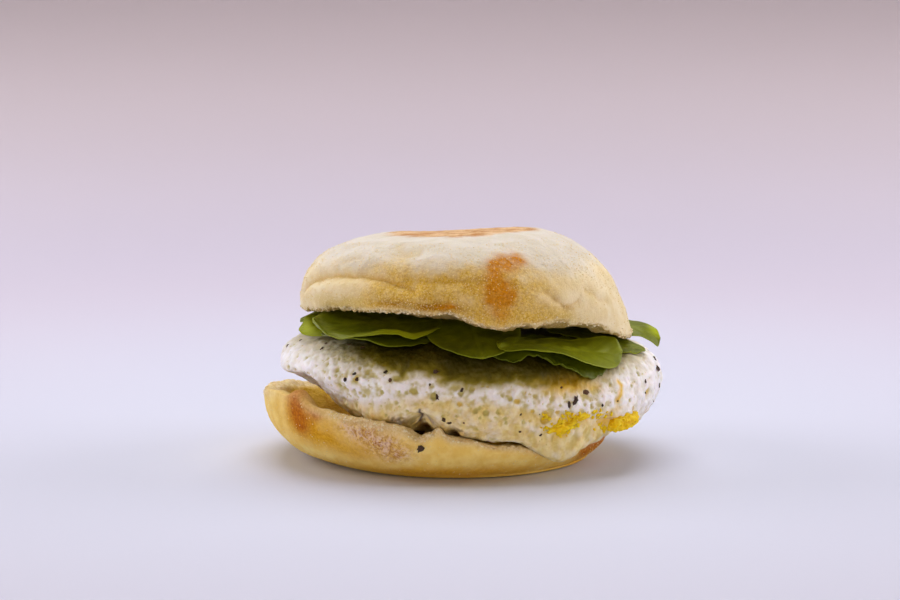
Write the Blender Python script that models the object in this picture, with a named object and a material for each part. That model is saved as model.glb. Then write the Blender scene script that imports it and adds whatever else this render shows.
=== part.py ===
"""Breakfast sandwich: a split English muffin round a thick egg patty and a few spinach leaves.

Lengths are in millimetres, azimuths in degrees counted from +X (the right side) towards +Y (the back).
The front, at 270 degrees, is the side where the egg sags over the muffin's rim.
"""

import math
import random
from collections import namedtuple

import bmesh
import bpy
import numpy as np
from mathutils import Vector, noise
from mathutils.bvhtree import BVHTree

MM = 0.001
TURN = 360.0
UP = Vector((0.0, 0.0, 1.0))
DOWN = Vector((0.0, 0.0, -1.0))

# The middle of the whole outline, seen from above, which becomes the part's origin.
OUTLINE_CENTRE = (0.14, 0.13)

# Clearance kept between neighbouring pieces, and the looser one under and over a leaf.
FIT_GAP = 0.35
LEAF_GAP = 0.75
LEAF_THICKNESS = 0.5

CROWN_CENTRE = (0.4, 0.0)
HEEL_CENTRE = (-8.2, 0.0)
EGG_CENTRE = (2.6, 0.0)

# Each body is a loft of eight sections, 45 degrees apart: right, back right, back, back left,
# left, front left, front, front right. A section is a row of (radius, height) from the
# middle of the underside, out, up the side, and in to the middle of the top.
CROWN_SECTIONS = (
    ((0, 43), (26, 41.5), (43.5, 35.8), (47.9, 34.8), (46.8, 40.5), (44.6, 46.5),
     (41, 53.4), (33, 61), (23, 65.2), (12, 65.4), (0, 65)),
    ((0, 43), (26, 41.5), (43.5, 39.2), (47.4, 39.1), (47.6, 43.4), (45.8, 48.6),
     (41.5, 54.8), (33.8, 60.6), (23.6, 63.6), (12, 64.8), (0, 65)),
    ((0, 43), (26, 41), (43.5, 39.2), (47.6, 39.2), (48, 43.4), (46.6, 49),
     (42.3, 55), (34, 59.8), (24, 62.4), (12, 64), (0, 65)),
    ((0, 43), (26, 41.6), (43.5, 40.8), (47.8, 41), (48.3, 45), (47, 50.2),
     (43.4, 55.4), (35.4, 60.2), (24.8, 62.6), (12, 64), (0, 65)),
    ((0, 43), (26, 43), (43, 42.7), (46.3, 42.7), (46.9, 46), (46.3, 50.4),
     (44.4, 54.8), (40.4, 58.9), (31.5, 62.7), (16, 64.4), (0, 65)),
    ((0, 43), (26, 44.4), (43.5, 46), (47.4, 46.5), (48.4, 49.2), (47.6, 53.4),
     (45.2, 57.8), (40.2, 61.7), (30, 64.3), (15, 65), (0, 65)),
    ((0, 43), (26, 44), (43.5, 43.8), (47.6, 44), (48.8, 48.2), (47.8, 53.3),
     (45, 58.2), (39.5, 62.2), (29, 65), (15, 65.6), (0, 65)),
    ((0, 43), (26, 43.2), (43.5, 42.8), (47.6, 42.8), (48.4, 47), (47, 52.4),
     (43.6, 57.6), (37, 62.2), (27, 65.4), (13, 65.8), (0, 65)),
)
HEEL_SECTIONS = (
    ((0, 0), (40, 0), (44.6, 1.2), (48, 3.6), (49.7, 6.4), (49.4, 9.2),
     (46, 9.5), (38, 9.2), (22, 9), (0, 9)),
    ((0, 0), (38, 0), (43.4, 1.4), (47, 4.2), (49, 7.8), (49.2, 11.2),
     (45.8, 11.2), (38, 10), (22, 9.2), (0, 9)),
    ((0, 0), (35, 0), (42, 1.8), (46.4, 5.2), (48.8, 9.2), (49.4, 13.4),
     (46, 13.2), (38, 11), (22, 9.4), (0, 9)),
    ((0, 0), (31, 0), (40.5, 2.4), (46, 6.6), (48.8, 11), (49.6, 16),
     (46, 15.9), (38, 12), (22, 9.6), (0, 9)),
    ((0, 0), (28, 0), (39.6, 2.6), (45.4, 7), (48.6, 12.2), (49.6, 18.6),
     (46, 18.4), (38, 13), (22, 9.8), (0, 9)),
    ((0, 0), (29, 0), (39.6, 2.4), (45.6, 6.9), (48.9, 12.4), (49.6, 19),
     (46.2, 19), (38, 13.6), (22, 10), (0, 9)),
    ((0, 0), (34, 0), (41.4, 1.8), (46.2, 5.4), (48.8, 9.6), (49.2, 14.6),
     (45.8, 14.6), (38, 11.8), (22, 9.6), (0, 9)),
    ((0, 0), (38, 0), (43.4, 1.2), (47, 3.6), (49, 6.2), (49, 8.6),
     (45.6, 8.9), (38, 9), (22, 9), (0, 9)),
)
EGG_SECTIONS = (
    ((0, 10), (26, 10.4), (43, 11.6), (49.6, 13.2), (53, 17.6), (54.6, 23.2),
     (53, 28), (47.6, 31.6), (36, 35), (20, 36.2), (0, 36.2)),
    ((0, 10), (26, 10.4), (42, 11.6), (47, 13.6), (50, 18), (50.6, 23.5),
     (48.4, 28.6), (43.5, 32.4), (34, 34.8), (20, 36), (0, 36.2)),
    ((0, 10), (26, 10.4), (41, 13.6), (45.4, 16.2), (47.6, 20.4), (47.8, 25),
     (45.6, 29.4), (41, 32.8), (33, 34.8), (20, 35.8), (0, 36.2)),
    ((0, 10), (25, 10.4), (39, 14), (45, 17.6), (48.8, 21.8), (50.2, 26.4),
     (48.6, 30.8), (43.6, 34), (34, 35.6), (20, 36.2), (0, 36.2)),
    ((0, 10), (24, 10.4), (35, 13.4), (41.6, 18.4), (47.4, 22.8), (54.8, 25.8),
     (53.8, 31.6), (47.5, 35.2), (36, 36.4), (20, 36.6), (0, 36.2)),
    ((0, 10), (26, 10.8), (41.5, 15), (47.5, 19), (51.3, 23.6), (53.6, 28.2),
     (51, 33), (44.5, 36.2), (34, 37), (20, 36.8), (0, 36.2)),
    ((0, 10), (26, 10.4), (44, 12.4), (48, 15), (49.3, 19.5), (49, 25),
     (46.8, 30.6), (42.5, 35), (34, 37.2), (20, 37.2), (0, 36.2)),
    ((0, 10), (26, 10.2), (43, 9.2), (48, 10.4), (50.8, 14.6), (51.2, 20.4),
     (48.8, 26.5), (43.8, 32), (34, 35.8), (20, 36.6), (0, 36.2)),
)

# Faces along each span of a section: few where the piece is hidden, more up the side.
CROWN_ROWS = (1, 2, 1, 2, 3, 3, 3, 2, 2, 1)
HEEL_ROWS = (1, 2, 2, 2, 2, 1, 2, 2, 1)
EGG_ROWS = (1, 1, 2, 2, 2, 2, 2, 2, 1, 1)
CROWN_AROUND = 88
HEEL_AROUND = 64
EGG_AROUND = 64

# A fold in the crown's side: its line as (azimuth, height), its depth and its half width.
Fold = namedtuple("Fold", "line depth width")
CROWN_FOLDS = (
    Fold(((188, 46.5), (203, 51.6), (225, 55.6), (239, 54.5), (251, 52)), 1.5, 1.5),
    Fold(((248, 54.8), (258, 56.9), (268, 55.9), (277, 55.4)), 0.8, 1.3),
    Fold(((237, 49), (246, 48.6), (259, 46)), 0.9, 1.1),
    Fold(((298, 52), (304, 46.9), (312, 49.4)), 1.3, 1.3),
    Fold(((312, 52.2), (322, 48.4), (333, 48)), 1.0, 1.3),
    Fold(((20, 47), (38, 51), (60, 49.5)), 1.2, 1.5),
    Fold(((84, 52), (104, 50), (128, 53)), 1.3, 1.6),
    Fold(((136, 49), (152, 51), (168, 47.5)), 1.1, 1.5),
)

# Where the crown's lower edge dips or lifts: azimuth, spread and rise.
Wave = namedtuple("Wave", "azimuth spread rise")
CROWN_EDGE_WAVES = (
    Wave(21, 9, 1.5), Wave(150, 14, -0.9), Wave(246, 9, 0.9),
    Wave(281, 9, -1.0), Wave(302, 8, 0.7), Wave(335, 11, -1.6),
)
EDGE_WAVE_FADE = (44.0, 52.0)

# The lobe of egg white that sags over the heel's rim.
SAG_AZIMUTH = 301.0
SAG_SPREAD = 11.0
SAG_DROP = 5.2
SAG_BELOW = 14.0

# Cooked yolk that breaks out of the white: middle, half sizes along, out and up, and azimuth.
Yolk = namedtuple("Yolk", "name middle half_size azimuth")
YOLKS = (
    Yolk("egg_yolk_side", (43.2, -27.2, 14.8), (6.4, 4.8, 2.5), 326.0),
    Yolk("egg_yolk_front", (28.2, -39.6, 16.4), (6.8, 3.6, 3.2), 303.0),
)

# Pepper on the egg: a few coarse flakes at chosen (azimuth, height), the rest strewn at random.
PEPPER_SEED = 11
PEPPER_COUNT = 14
PEPPER_SIZE = (0.5, 0.8)
FRONT_PEPPER = (
    (223, 27.3), (228, 27.6), (241, 30.5), (258, 24.6), (266, 26.5), (252, 19.9),
    (300, 22.2), (303, 21.2), (310, 23.9), (284, 18.8), (285, 14.8),
)
HEEL_PEPPER = ((266, 10.3),)

# A leaf: middle x, y and height, heading of its tip, length, width, fall from the middle to
# the tip, rise from the midrib to the left margin, arch along and across, ruffle and its phase.
Leaf = namedtuple("Leaf", "name x y height heading length width tip_fall left_rise arch cup ruffle phase")
LEAVES = (
    Leaf("spinach_right_low", 38, -8, 34.6, -8, 28, 17, 2.2, 0.4, 0.8, 0.6, 0.5, 0.3),
    Leaf("spinach_front_right_low", 22.5, -31.5, 35.6, 36, 38, 19, 0.6, 3.4, 0.8, 0.8, 0.7, 1.1),
    Leaf("spinach_front_left_low", -25.5, -29.0, 39.2, 171, 31, 29, 0.2, -1.3, 0.4, 0.3, 0.6, 2.0),
    Leaf("spinach_back_left", -22, 28, 37.2, 122, 40, 25, 1.4, 0.4, 1.2, 0.6, 0.7, 0.6),
    Leaf("spinach_back_right", 27, 29, 36.4, 50, 36, 23, 1.2, -0.3, 1.2, 0.5, 0.7, 2.4),
    Leaf("spinach_back", 6, 30, 37.4, 82, 40, 27, 1.0, 0.3, 0.9, 0.4, 0.8, 1.6),
    Leaf("spinach_left_back", -34, 9, 38.0, 168, 28, 21, 0.8, 0.6, 0.6, 0.3, 0.7, 0.0),
    Leaf("spinach_far_left", -31.8, -14, 40.6, 185, 26, 17, 0.2, -2.0, 0.2, 0.2, 0.6, 2.7),
    Leaf("spinach_front_middle", 3.4, -30, 39.0, 275, 38, 25, 2.8, 0.2, 0.7, -0.4, 0.7, 0.9),
    Leaf("spinach_front_left", -25, -28.5, 42.0, 194, 38, 28, 0.2, -2.4, 0.2, 0.2, 0.6, 1.9),
    Leaf("spinach_front_right", 28.5, -32.5, 35.9, 35, 40, 15, 1.7, 4.2, 0.5, 0.3, 0.5, 0.4),
    Leaf("spinach_far_right", 44.5, 16.5, 36.6, 2, 27, 13, 1.9, 1.0, 0.4, 0.3, 0.4, 2.2),
)
LEAF_ROWS = 10
LEAF_COLUMNS = 6
SETTLE_ROUNDS = 6
SETTLE_EVENING = 0.35
UNDER_CROWN = 20.0

# Colour, roughness and metallic value of each material.
FINISHES = {
    "muffin_crust": ((0.86, 0.70, 0.44), 0.85, 0.0),
    "muffin_heel": ((0.80, 0.55, 0.25), 0.8, 0.0),
    "egg_white": ((0.90, 0.87, 0.76), 0.45, 0.0),
    "egg_yolk": ((0.92, 0.68, 0.05), 0.6, 0.0),
    "spinach": ((0.10, 0.20, 0.03), 0.4, 0.0),
}


def clear_scene():
    for obj in list(bpy.data.objects):
        bpy.data.objects.remove(obj)


def catmull(a, b, c, d, t):
    """The point at t on the smooth curve from b to c."""
    return 0.5 * (2 * b + (c - a) * t + (2 * a - 5 * b + 4 * c - d) * t**2 + (3 * b - a - 3 * c + d) * t**3)


def section_at(sections, azimuth):
    """The control points of a body's section at an azimuth, between the stated sections."""
    count = len(sections)
    place = (azimuth % TURN) / TURN * count
    first = int(place)
    near = [np.array(sections[(first + step) % count], float) for step in (-1, 0, 1, 2)]
    return catmull(*near, place - first)


def section_points(control, rows):
    """Points along a section. Past its ends it goes on as its own mirror image: the poles are smooth."""
    mirror = np.array([-1.0, 1.0])
    line = np.vstack([control[1] * mirror, control, control[-2] * mirror])
    points = [
        catmull(line[i], line[i + 1], line[i + 2], line[i + 3], step / count)
        for i, count in enumerate(rows)
        for step in range(count)
    ]
    points.append(control[-1])
    points = np.array(points)
    points[:, 0] = np.maximum(points[:, 0], 0.0)
    return points


def loft(sections, rows, around, centre):
    """The closed surface through a body's sections, as a bmesh in millimetres."""
    azimuths = [TURN * step / around for step in range(around)]
    lines = [section_points(section_at(sections, azimuth), rows) for azimuth in azimuths]
    bm = bmesh.new()
    bottom = bm.verts.new((centre[0], centre[1], lines[0][0][1]))
    rings = []
    for row in range(1, len(lines[0]) - 1):
        ring = []
        for azimuth, line in zip(azimuths, lines):
            angle = math.radians(azimuth)
            radius, height = line[row]
            x, y = centre[0] + radius * math.cos(angle), centre[1] + radius * math.sin(angle)
            ring.append(bm.verts.new((x, y, height)))
        rings.append(ring)
    top = bm.verts.new((centre[0], centre[1], lines[0][-1][1]))
    for step in range(around):
        after = (step + 1) % around
        bm.faces.new((bottom, rings[0][after], rings[0][step]))
        bm.faces.new((top, rings[-1][step], rings[-1][after]))
        for lower, upper in zip(rings, rings[1:]):
            bm.faces.new((lower[step], lower[after], upper[after], upper[step]))
    bm.normal_update()
    return bm


def polar(point, centre):
    """Azimuth in degrees and radius of a point about a body's axis."""
    dx, dy = point.x - centre[0], point.y - centre[1]
    return math.degrees(math.atan2(dy, dx)) % TURN, math.hypot(dx, dy)


def turn_between(a, b):
    """The shortest turn from azimuth b to azimuth a."""
    return (a - b + TURN / 2) % TURN - TURN / 2


def smooth_step(low, high, value):
    t = min(1.0, max(0.0, (value - low) / (high - low)))
    return t * t * (3 - 2 * t)


def lumps(point, size, seed):
    """Smooth noise between about -1 and 1, with lumps of the given size."""
    return noise.noise(point / size + Vector((seed, 2.3 * seed, 5.1 * seed)))


def fold_relief(azimuth, height, radius, fold):
    """Height of the skin beside a fold: a groove on its line, with a soft swell under it."""
    nearest, side = 1e9, 0.0
    for (az0, z0), (az1, z1) in zip(fold.line, fold.line[1:]):
        along = np.array([turn_between(az1, az0) * math.radians(radius), z1 - z0])
        here = np.array([turn_between(azimuth, az0) * math.radians(radius), height - z0])
        share = min(1.0, max(0.0, here.dot(along) / along.dot(along)))
        offset = here - share * along
        distance = math.hypot(*offset)
        if distance < nearest:
            nearest, side = distance, offset[1]
    groove = -fold.depth * math.exp(-((nearest / fold.width) ** 2))
    swell = 0.45 * fold.depth * math.exp(-(((nearest - 2.6 * fold.width) / (1.6 * fold.width)) ** 2))
    return groove + (swell if side < 0 else 0.5 * swell)


def edge_wave(azimuth, radius, height):
    """How far the crown's lower edge rises or dips at a place."""
    rise = 0.0
    for wave in CROWN_EDGE_WAVES:
        rise += wave.rise * math.exp(-((turn_between(azimuth, wave.azimuth) / wave.spread) ** 2))
    return rise * smooth_step(30, 44, radius) * (1 - smooth_step(*EDGE_WAVE_FADE, height))


def shape_crown(bm):
    """Soft dents, the side's folds, and a torn lower edge."""
    moves = []
    for vert in bm.verts:
        azimuth, radius = polar(vert.co, CROWN_CENTRE)
        move = 0.5 * lumps(vert.co, 14.0, 3.0)
        if radius > 34 and vert.co.z > 42:
            move += sum(fold_relief(azimuth, vert.co.z, 47.5, fold) for fold in CROWN_FOLDS)
        if vert.normal.z < -0.5:
            move += 0.5 * lumps(vert.co, 5.0, 7.0) * smooth_step(20, 44, radius)
        moves.append(vert.normal * move + UP * edge_wave(azimuth, radius, vert.co.z))
    displace(bm, moves)


def shape_heel(bm):
    """A flat base, soft dents on the side and a craggy torn top."""
    moves = []
    for vert in bm.verts:
        radius = polar(vert.co, HEEL_CENTRE)[1]
        move = 0.45 * lumps(vert.co, 13.0, 1.0) * smooth_step(1.0, 4.0, vert.co.z)
        if vert.normal.z > 0.4:
            move += 0.5 * lumps(vert.co, 5.0, 4.0) * smooth_step(20, 40, radius)
        moves.append(vert.normal * move)
    displace(bm, moves)
    for vert in bm.verts:
        vert.co.z = max(vert.co.z, 0.0)


def shape_egg(bm):
    """Uneven lumps all over, and the lobe that sags at the front right."""
    moves = []
    for vert in bm.verts:
        azimuth, radius = polar(vert.co, EGG_CENTRE)
        move = 0.8 * lumps(vert.co, 15.0, 9.0) + 0.35 * lumps(vert.co, 6.0, 2.0)
        sag = SAG_DROP * math.exp(-((turn_between(azimuth, SAG_AZIMUTH) / SAG_SPREAD) ** 2))
        sag *= smooth_step(40, 46, radius) * smooth_step(SAG_BELOW + 4, SAG_BELOW - 4, vert.co.z)
        moves.append(vert.normal * move * smooth_step(20, 34, radius) + DOWN * sag)
    displace(bm, moves)


def displace(bm, moves):
    for vert, move in zip(bm.verts, moves):
        vert.co += move
    bm.normal_update()


def material(name):
    found = bpy.data.materials.get(name)
    if found:
        return found
    colour, roughness, metallic = FINISHES[name]
    made = bpy.data.materials.new(name)
    made.use_nodes = True
    shader = made.node_tree.nodes["Principled BSDF"]
    shader.inputs["Base Color"].default_value = (*colour, 1.0)
    shader.inputs["Roughness"].default_value = roughness
    shader.inputs["Metallic"].default_value = metallic
    return made


def object_of(bm, name, finish, parent=None):
    """A named object in metres from a bmesh in millimetres."""
    bmesh.ops.scale(bm, vec=(MM, MM, MM), verts=bm.verts)
    mesh = bpy.data.meshes.new(name)
    bm.to_mesh(mesh)
    bm.free()
    mesh.shade_smooth()
    obj = bpy.data.objects.new(name, mesh)
    bpy.context.scene.collection.objects.link(obj)
    mesh.materials.append(material(finish))
    obj.parent = parent
    return obj


def tree_of(bm):
    return BVHTree.FromBMesh(bm)


def swollen(bm, gap):
    """A copy of the surface moved outwards by the gap."""
    copy = bm.copy()
    copy.normal_update()
    displace(copy, [vert.normal * gap for vert in copy.verts])
    return copy


def combine(obj, tools, operation):
    """Joins or cuts the object with temporary tool bodies, which are then removed."""
    group = bpy.data.collections.new(obj.name + "_tools")
    bpy.context.scene.collection.children.link(group)
    for step, bm in enumerate(tools):
        tool = object_of(bm, f"{obj.name}_tool_{step}", "egg_white", obj.parent)
        bpy.context.scene.collection.objects.unlink(tool)
        group.objects.link(tool)
    boolean = obj.modifiers.new("combine", "BOOLEAN")
    boolean.operand_type = "COLLECTION"
    boolean.collection = group
    boolean.operation = operation
    boolean.solver = "EXACT"
    bpy.context.view_layer.update()
    graph = bpy.context.evaluated_depsgraph_get()
    result = bpy.data.meshes.new_from_object(obj.evaluated_get(graph))
    obj.modifiers.remove(boolean)
    obj.data = result
    for tool in list(group.objects):
        bpy.data.objects.remove(tool)
    bpy.data.collections.remove(group)


def yolk_body(yolk):
    """A crumbly block of cooked yolk."""
    bm = bmesh.new()
    bmesh.ops.create_icosphere(bm, subdivisions=3, radius=1.0)
    along, out, up = yolk.half_size
    angle = math.radians(yolk.azimuth)
    outward = Vector((math.cos(angle), math.sin(angle), 0.0))
    sideways = Vector((outward.y, -outward.x, 0.0))
    for vert in bm.verts:
        boxy = Vector([math.copysign(abs(c) ** 0.7, c) for c in vert.co])
        boxy *= 1.0 + 0.16 * noise.noise(vert.co * 2.1 + Vector((yolk.azimuth, 0, 0)))
        vert.co = Vector(yolk.middle) + sideways * boxy.x * along + outward * boxy.y * out + UP * boxy.z * up
    bm.normal_update()
    return bm


def flake(place, normal, size, draw):
    """A coarse pepper flake, half sunk in the surface."""
    bm = bmesh.new()
    bmesh.ops.create_icosphere(bm, subdivisions=1, radius=1.0)
    turn = normal.to_track_quat("Z", "Y")
    stretch = Vector((draw.uniform(0.7, 1.5), draw.uniform(0.6, 1.0), draw.uniform(0.6, 0.9))) * size
    for vert in bm.verts:
        vert.co = place + turn @ (vert.co * stretch)
    bm.normal_update()
    return bm


def on_side(tree, centre, azimuth, height):
    """The point and normal where a level line from outside meets the body's side."""
    angle = math.radians(azimuth)
    outward = Vector((math.cos(angle), math.sin(angle), 0.0))
    start = Vector((*centre, height)) + outward * 100
    place, normal, _, _ = tree.ray_cast(start, -outward)
    return place, normal


def pepper(tree, centre, spots, strewn, draw):
    """Flakes at the stated spots, and some at random round the rest of the side."""
    spots = list(spots)
    taken = [turn for turn, _ in spots]
    for step in range(strewn):
        azimuth = (330 + 250 * (step + draw.uniform(0.1, 0.9)) / strewn) % TURN
        spots.append((azimuth, draw.uniform(18, 31)))
    found = [on_side(tree, centre, azimuth, height) for azimuth, height in spots]
    return [flake(place, normal, draw.uniform(*PEPPER_SIZE), draw) for place, normal in found if place]


def leaf_outline(u):
    """Half width of a blade at u, from -1 at the stem to 1 at the tip, as a share of the widest."""
    return math.sqrt(max(0.0, 1 - u * u)) * (1.0 - 0.12 * u)


def leaf_point(leaf, u, v):
    """A point of the blade before it settles. v runs from -1, the right margin, to 1, the left."""
    across = v * leaf_outline(u)
    angle = math.radians(leaf.heading)
    along_x, along_y = math.cos(angle), math.sin(angle)
    length, width = u * leaf.length / 2, across * leaf.width / 2
    height = leaf.height - leaf.tip_fall * u + leaf.left_rise * across
    height -= leaf.arch * u * u + leaf.cup * across * across
    margin_phase = leaf.phase + (1.3 if v < 0 else 0.0)
    height += leaf.ruffle * abs(across) ** 1.5 * math.sin(2.5 * math.pi * u + margin_phase)
    x = leaf.x + length * along_x - width * along_y
    y = leaf.y + length * along_y + width * along_x
    return Vector((x, y, height))


def leaf_sheet(leaf):
    """The blade's middle surface: a grid closed to a point at each end, in triangles."""
    bm = bmesh.new()
    along = [-math.cos(math.pi * row / LEAF_ROWS) for row in range(1, LEAF_ROWS)]
    across = [2 * column / LEAF_COLUMNS - 1 for column in range(LEAF_COLUMNS + 1)]
    stem = bm.verts.new(leaf_point(leaf, -1, 0))
    rows = [[bm.verts.new(leaf_point(leaf, u, v)) for v in across] for u in along]
    tip = bm.verts.new(leaf_point(leaf, 1, 0))
    for column in range(LEAF_COLUMNS):
        bm.faces.new((stem, rows[0][column], rows[0][column + 1]))
        bm.faces.new((tip, rows[-1][column + 1], rows[-1][column]))
        for near, far in zip(rows, rows[1:]):
            bm.faces.new((near[column], far[column], near[column + 1]))
            bm.faces.new((near[column + 1], far[column], far[column + 1]))
    bm.normal_update()
    return bm


def height_over(trees, x, y):
    """The height of whatever is topmost at a place, or None where nothing is."""
    hits = [tree.ray_cast(Vector((x, y, 200)), DOWN)[0] for tree in trees]
    return max((hit.z for hit in hits if hit), default=None)


def fit_between(vert, below, ceiling):
    """Moves a point of a blade up off the pile or down from the crown, and says whether it had to."""
    clear = LEAF_GAP + LEAF_THICKNESS / 2
    before = vert.co.z
    roof = ceiling.ray_cast(Vector((vert.co.x, vert.co.y, UNDER_CROWN)), UP)[0]
    if roof:
        vert.co.z = min(vert.co.z, roof.z - clear)
    floor = height_over(below, vert.co.x, vert.co.y)
    if floor is not None:
        vert.co.z = max(vert.co.z, floor + clear)
    return vert.co.z != before


def settle(bm, below, ceiling):
    """Fits a blade between the pile and the crown, and evens it out where it was moved."""
    moved = set()
    for _ in range(SETTLE_ROUNDS):
        near = {other for vert in moved for edge in vert.link_edges for other in edge.verts}
        level = {v: sum(e.other_vert(v).co.z for e in v.link_edges) / len(v.link_edges) for v in near}
        for vert in near:
            vert.co.z += SETTLE_EVENING * (level[vert] - vert.co.z)
        moved = {vert for vert in bm.verts if fit_between(vert, below, ceiling)}
    bm.normal_update()


def thicken(sheet, thickness):
    """A closed blade with two alike faces, thinner towards its margin."""
    bm = bmesh.new()
    sides = []
    for sign in (1, -1):
        side = {}
        for vert in sheet.verts:
            share = 0.6 if vert.is_boundary else 1.0
            side[vert] = bm.verts.new(vert.co + vert.normal * (sign * share * thickness / 2))
        sides.append(side)
    upper, lower = sides
    for face in sheet.faces:
        bm.faces.new([upper[vert] for vert in face.verts])
        bm.faces.new([lower[vert] for vert in reversed(face.verts)])
    for edge in sheet.edges:
        if edge.is_boundary:
            loop = edge.link_loops[0]
            a, b = loop.vert, loop.link_loop_next.vert
            bm.faces.new((upper[b], upper[a], lower[a]))
            bm.faces.new((upper[b], lower[a], lower[b]))
    bm.normal_update()
    return bm


def build():
    clear_scene()
    frame = bpy.data.objects.new("sandwich", None)
    bpy.context.scene.collection.objects.link(frame)
    frame.location = (-OUTLINE_CENTRE[0] * MM, -OUTLINE_CENTRE[1] * MM, 0.0)
    draw = random.Random(PEPPER_SEED)

    heel = loft(HEEL_SECTIONS, HEEL_ROWS, HEEL_AROUND, HEEL_CENTRE)
    shape_heel(heel)
    egg = loft(EGG_SECTIONS, EGG_ROWS, EGG_AROUND, EGG_CENTRE)
    shape_egg(egg)
    crown = loft(CROWN_SECTIONS, CROWN_ROWS, CROWN_AROUND, CROWN_CENTRE)
    shape_crown(crown)

    below = [tree_of(egg)]
    ceiling = tree_of(crown)
    for leaf in LEAVES:
        sheet = leaf_sheet(leaf)
        settle(sheet, below, ceiling)
        blade = thicken(sheet, LEAF_THICKNESS)
        below.append(tree_of(blade))
        object_of(blade, leaf.name, "spinach", frame)

    egg_pepper = pepper(tree_of(egg), EGG_CENTRE, FRONT_PEPPER, PEPPER_COUNT, draw)
    heel_pepper = pepper(tree_of(heel), HEEL_CENTRE, HEEL_PEPPER, 0, draw)
    hollows = [swollen(heel, FIT_GAP)]
    for yolk in YOLKS:
        body = yolk_body(yolk)
        hollows.append(swollen(body, FIT_GAP))
        object_of(body, yolk.name, "egg_yolk", frame)
    white = object_of(egg, "egg_white", "egg_white", frame)
    combine(white, hollows, "DIFFERENCE")
    combine(white, egg_pepper, "UNION")
    base = object_of(heel, "muffin_heel", "muffin_heel", frame)
    combine(base, heel_pepper, "UNION")
    object_of(crown, "muffin_crown", "muffin_crust", frame)


build()
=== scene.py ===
"""Looks of the breakfast sandwich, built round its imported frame.

Shapes are worked out in millimetres, with azimuths in degrees counted from +X (the right side)
towards +Y (the back), so that the front is at 270. The bread and the egg are lofted through the
same sections as the solids they replace, with a finer grid and more relief.
"""

import math
import random
from collections import namedtuple

import bmesh
import bpy
import numpy as np
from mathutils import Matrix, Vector, kdtree, noise
from mathutils.bvhtree import BVHTree


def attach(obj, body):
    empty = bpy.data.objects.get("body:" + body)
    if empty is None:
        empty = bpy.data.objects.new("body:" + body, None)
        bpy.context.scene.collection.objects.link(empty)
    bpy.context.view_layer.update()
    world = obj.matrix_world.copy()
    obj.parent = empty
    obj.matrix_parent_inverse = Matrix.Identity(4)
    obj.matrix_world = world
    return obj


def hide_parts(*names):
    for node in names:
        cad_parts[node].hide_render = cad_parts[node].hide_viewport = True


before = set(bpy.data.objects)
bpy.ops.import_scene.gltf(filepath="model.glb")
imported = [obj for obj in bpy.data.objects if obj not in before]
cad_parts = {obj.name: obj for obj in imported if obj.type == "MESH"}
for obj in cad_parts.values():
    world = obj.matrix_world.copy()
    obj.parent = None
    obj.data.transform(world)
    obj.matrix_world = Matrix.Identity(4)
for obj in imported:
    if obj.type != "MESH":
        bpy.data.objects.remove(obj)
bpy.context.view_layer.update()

MM = 0.001
TURN = 360
MIRROR = np.array([-1, 1])
OUTLINE_CENTRE = np.array([0.14, 0.13, 0])

CROWN_CENTRE = (0.4, 0)
HEEL_CENTRE = (-8.2, 0)
EGG_CENTRE = (2.6, 0)

# Eight sections of each body, 45 degrees apart from the right side round by the back. A section is
# a row of (radius, height) from the middle of the underside, up the side, to the middle of the top.
CROWN_SECTIONS = (
    ((0, 43), (26, 41.5), (43.5, 35.8), (47.9, 34.8), (46.8, 40.5), (44.6, 46.5),
     (41, 53.4), (33, 61), (23, 65.2), (12, 65.4), (0, 65)),
    ((0, 43), (26, 41.5), (43.5, 39.2), (47.4, 39.1), (47.6, 43.4), (45.8, 48.6),
     (41.5, 54.8), (33.8, 60.6), (23.6, 63.6), (12, 64.8), (0, 65)),
    ((0, 43), (26, 41), (43.5, 39.2), (47.6, 39.2), (48, 43.4), (46.6, 49),
     (42.3, 55), (34, 59.8), (24, 62.4), (12, 64), (0, 65)),
    ((0, 43), (26, 41.6), (43.5, 40.8), (47.8, 41), (48.3, 45), (47, 50.2),
     (43.4, 55.4), (35.4, 60.2), (24.8, 62.6), (12, 64), (0, 65)),
    ((0, 43), (26, 43), (43, 42.7), (46.3, 42.7), (46.9, 46), (46.3, 50.4),
     (44.4, 54.8), (40.4, 58.9), (31.5, 62.7), (16, 64.4), (0, 65)),
    ((0, 43), (26, 44.4), (43.5, 46), (47.4, 46.5), (48.4, 49.2), (47.6, 53.4),
     (45.2, 57.8), (40.2, 61.7), (30, 64.3), (15, 65), (0, 65)),
    ((0, 43), (26, 44), (43.5, 43.8), (47.6, 44), (48.8, 48.2), (47.8, 53.3),
     (45, 58.2), (39.5, 62.2), (29, 65), (15, 65.6), (0, 65)),
    ((0, 43), (26, 43.2), (43.5, 42.8), (47.6, 42.8), (48.4, 47), (47, 52.4),
     (43.6, 57.6), (37, 62.2), (27, 65.4), (13, 65.8), (0, 65)),
)
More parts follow.
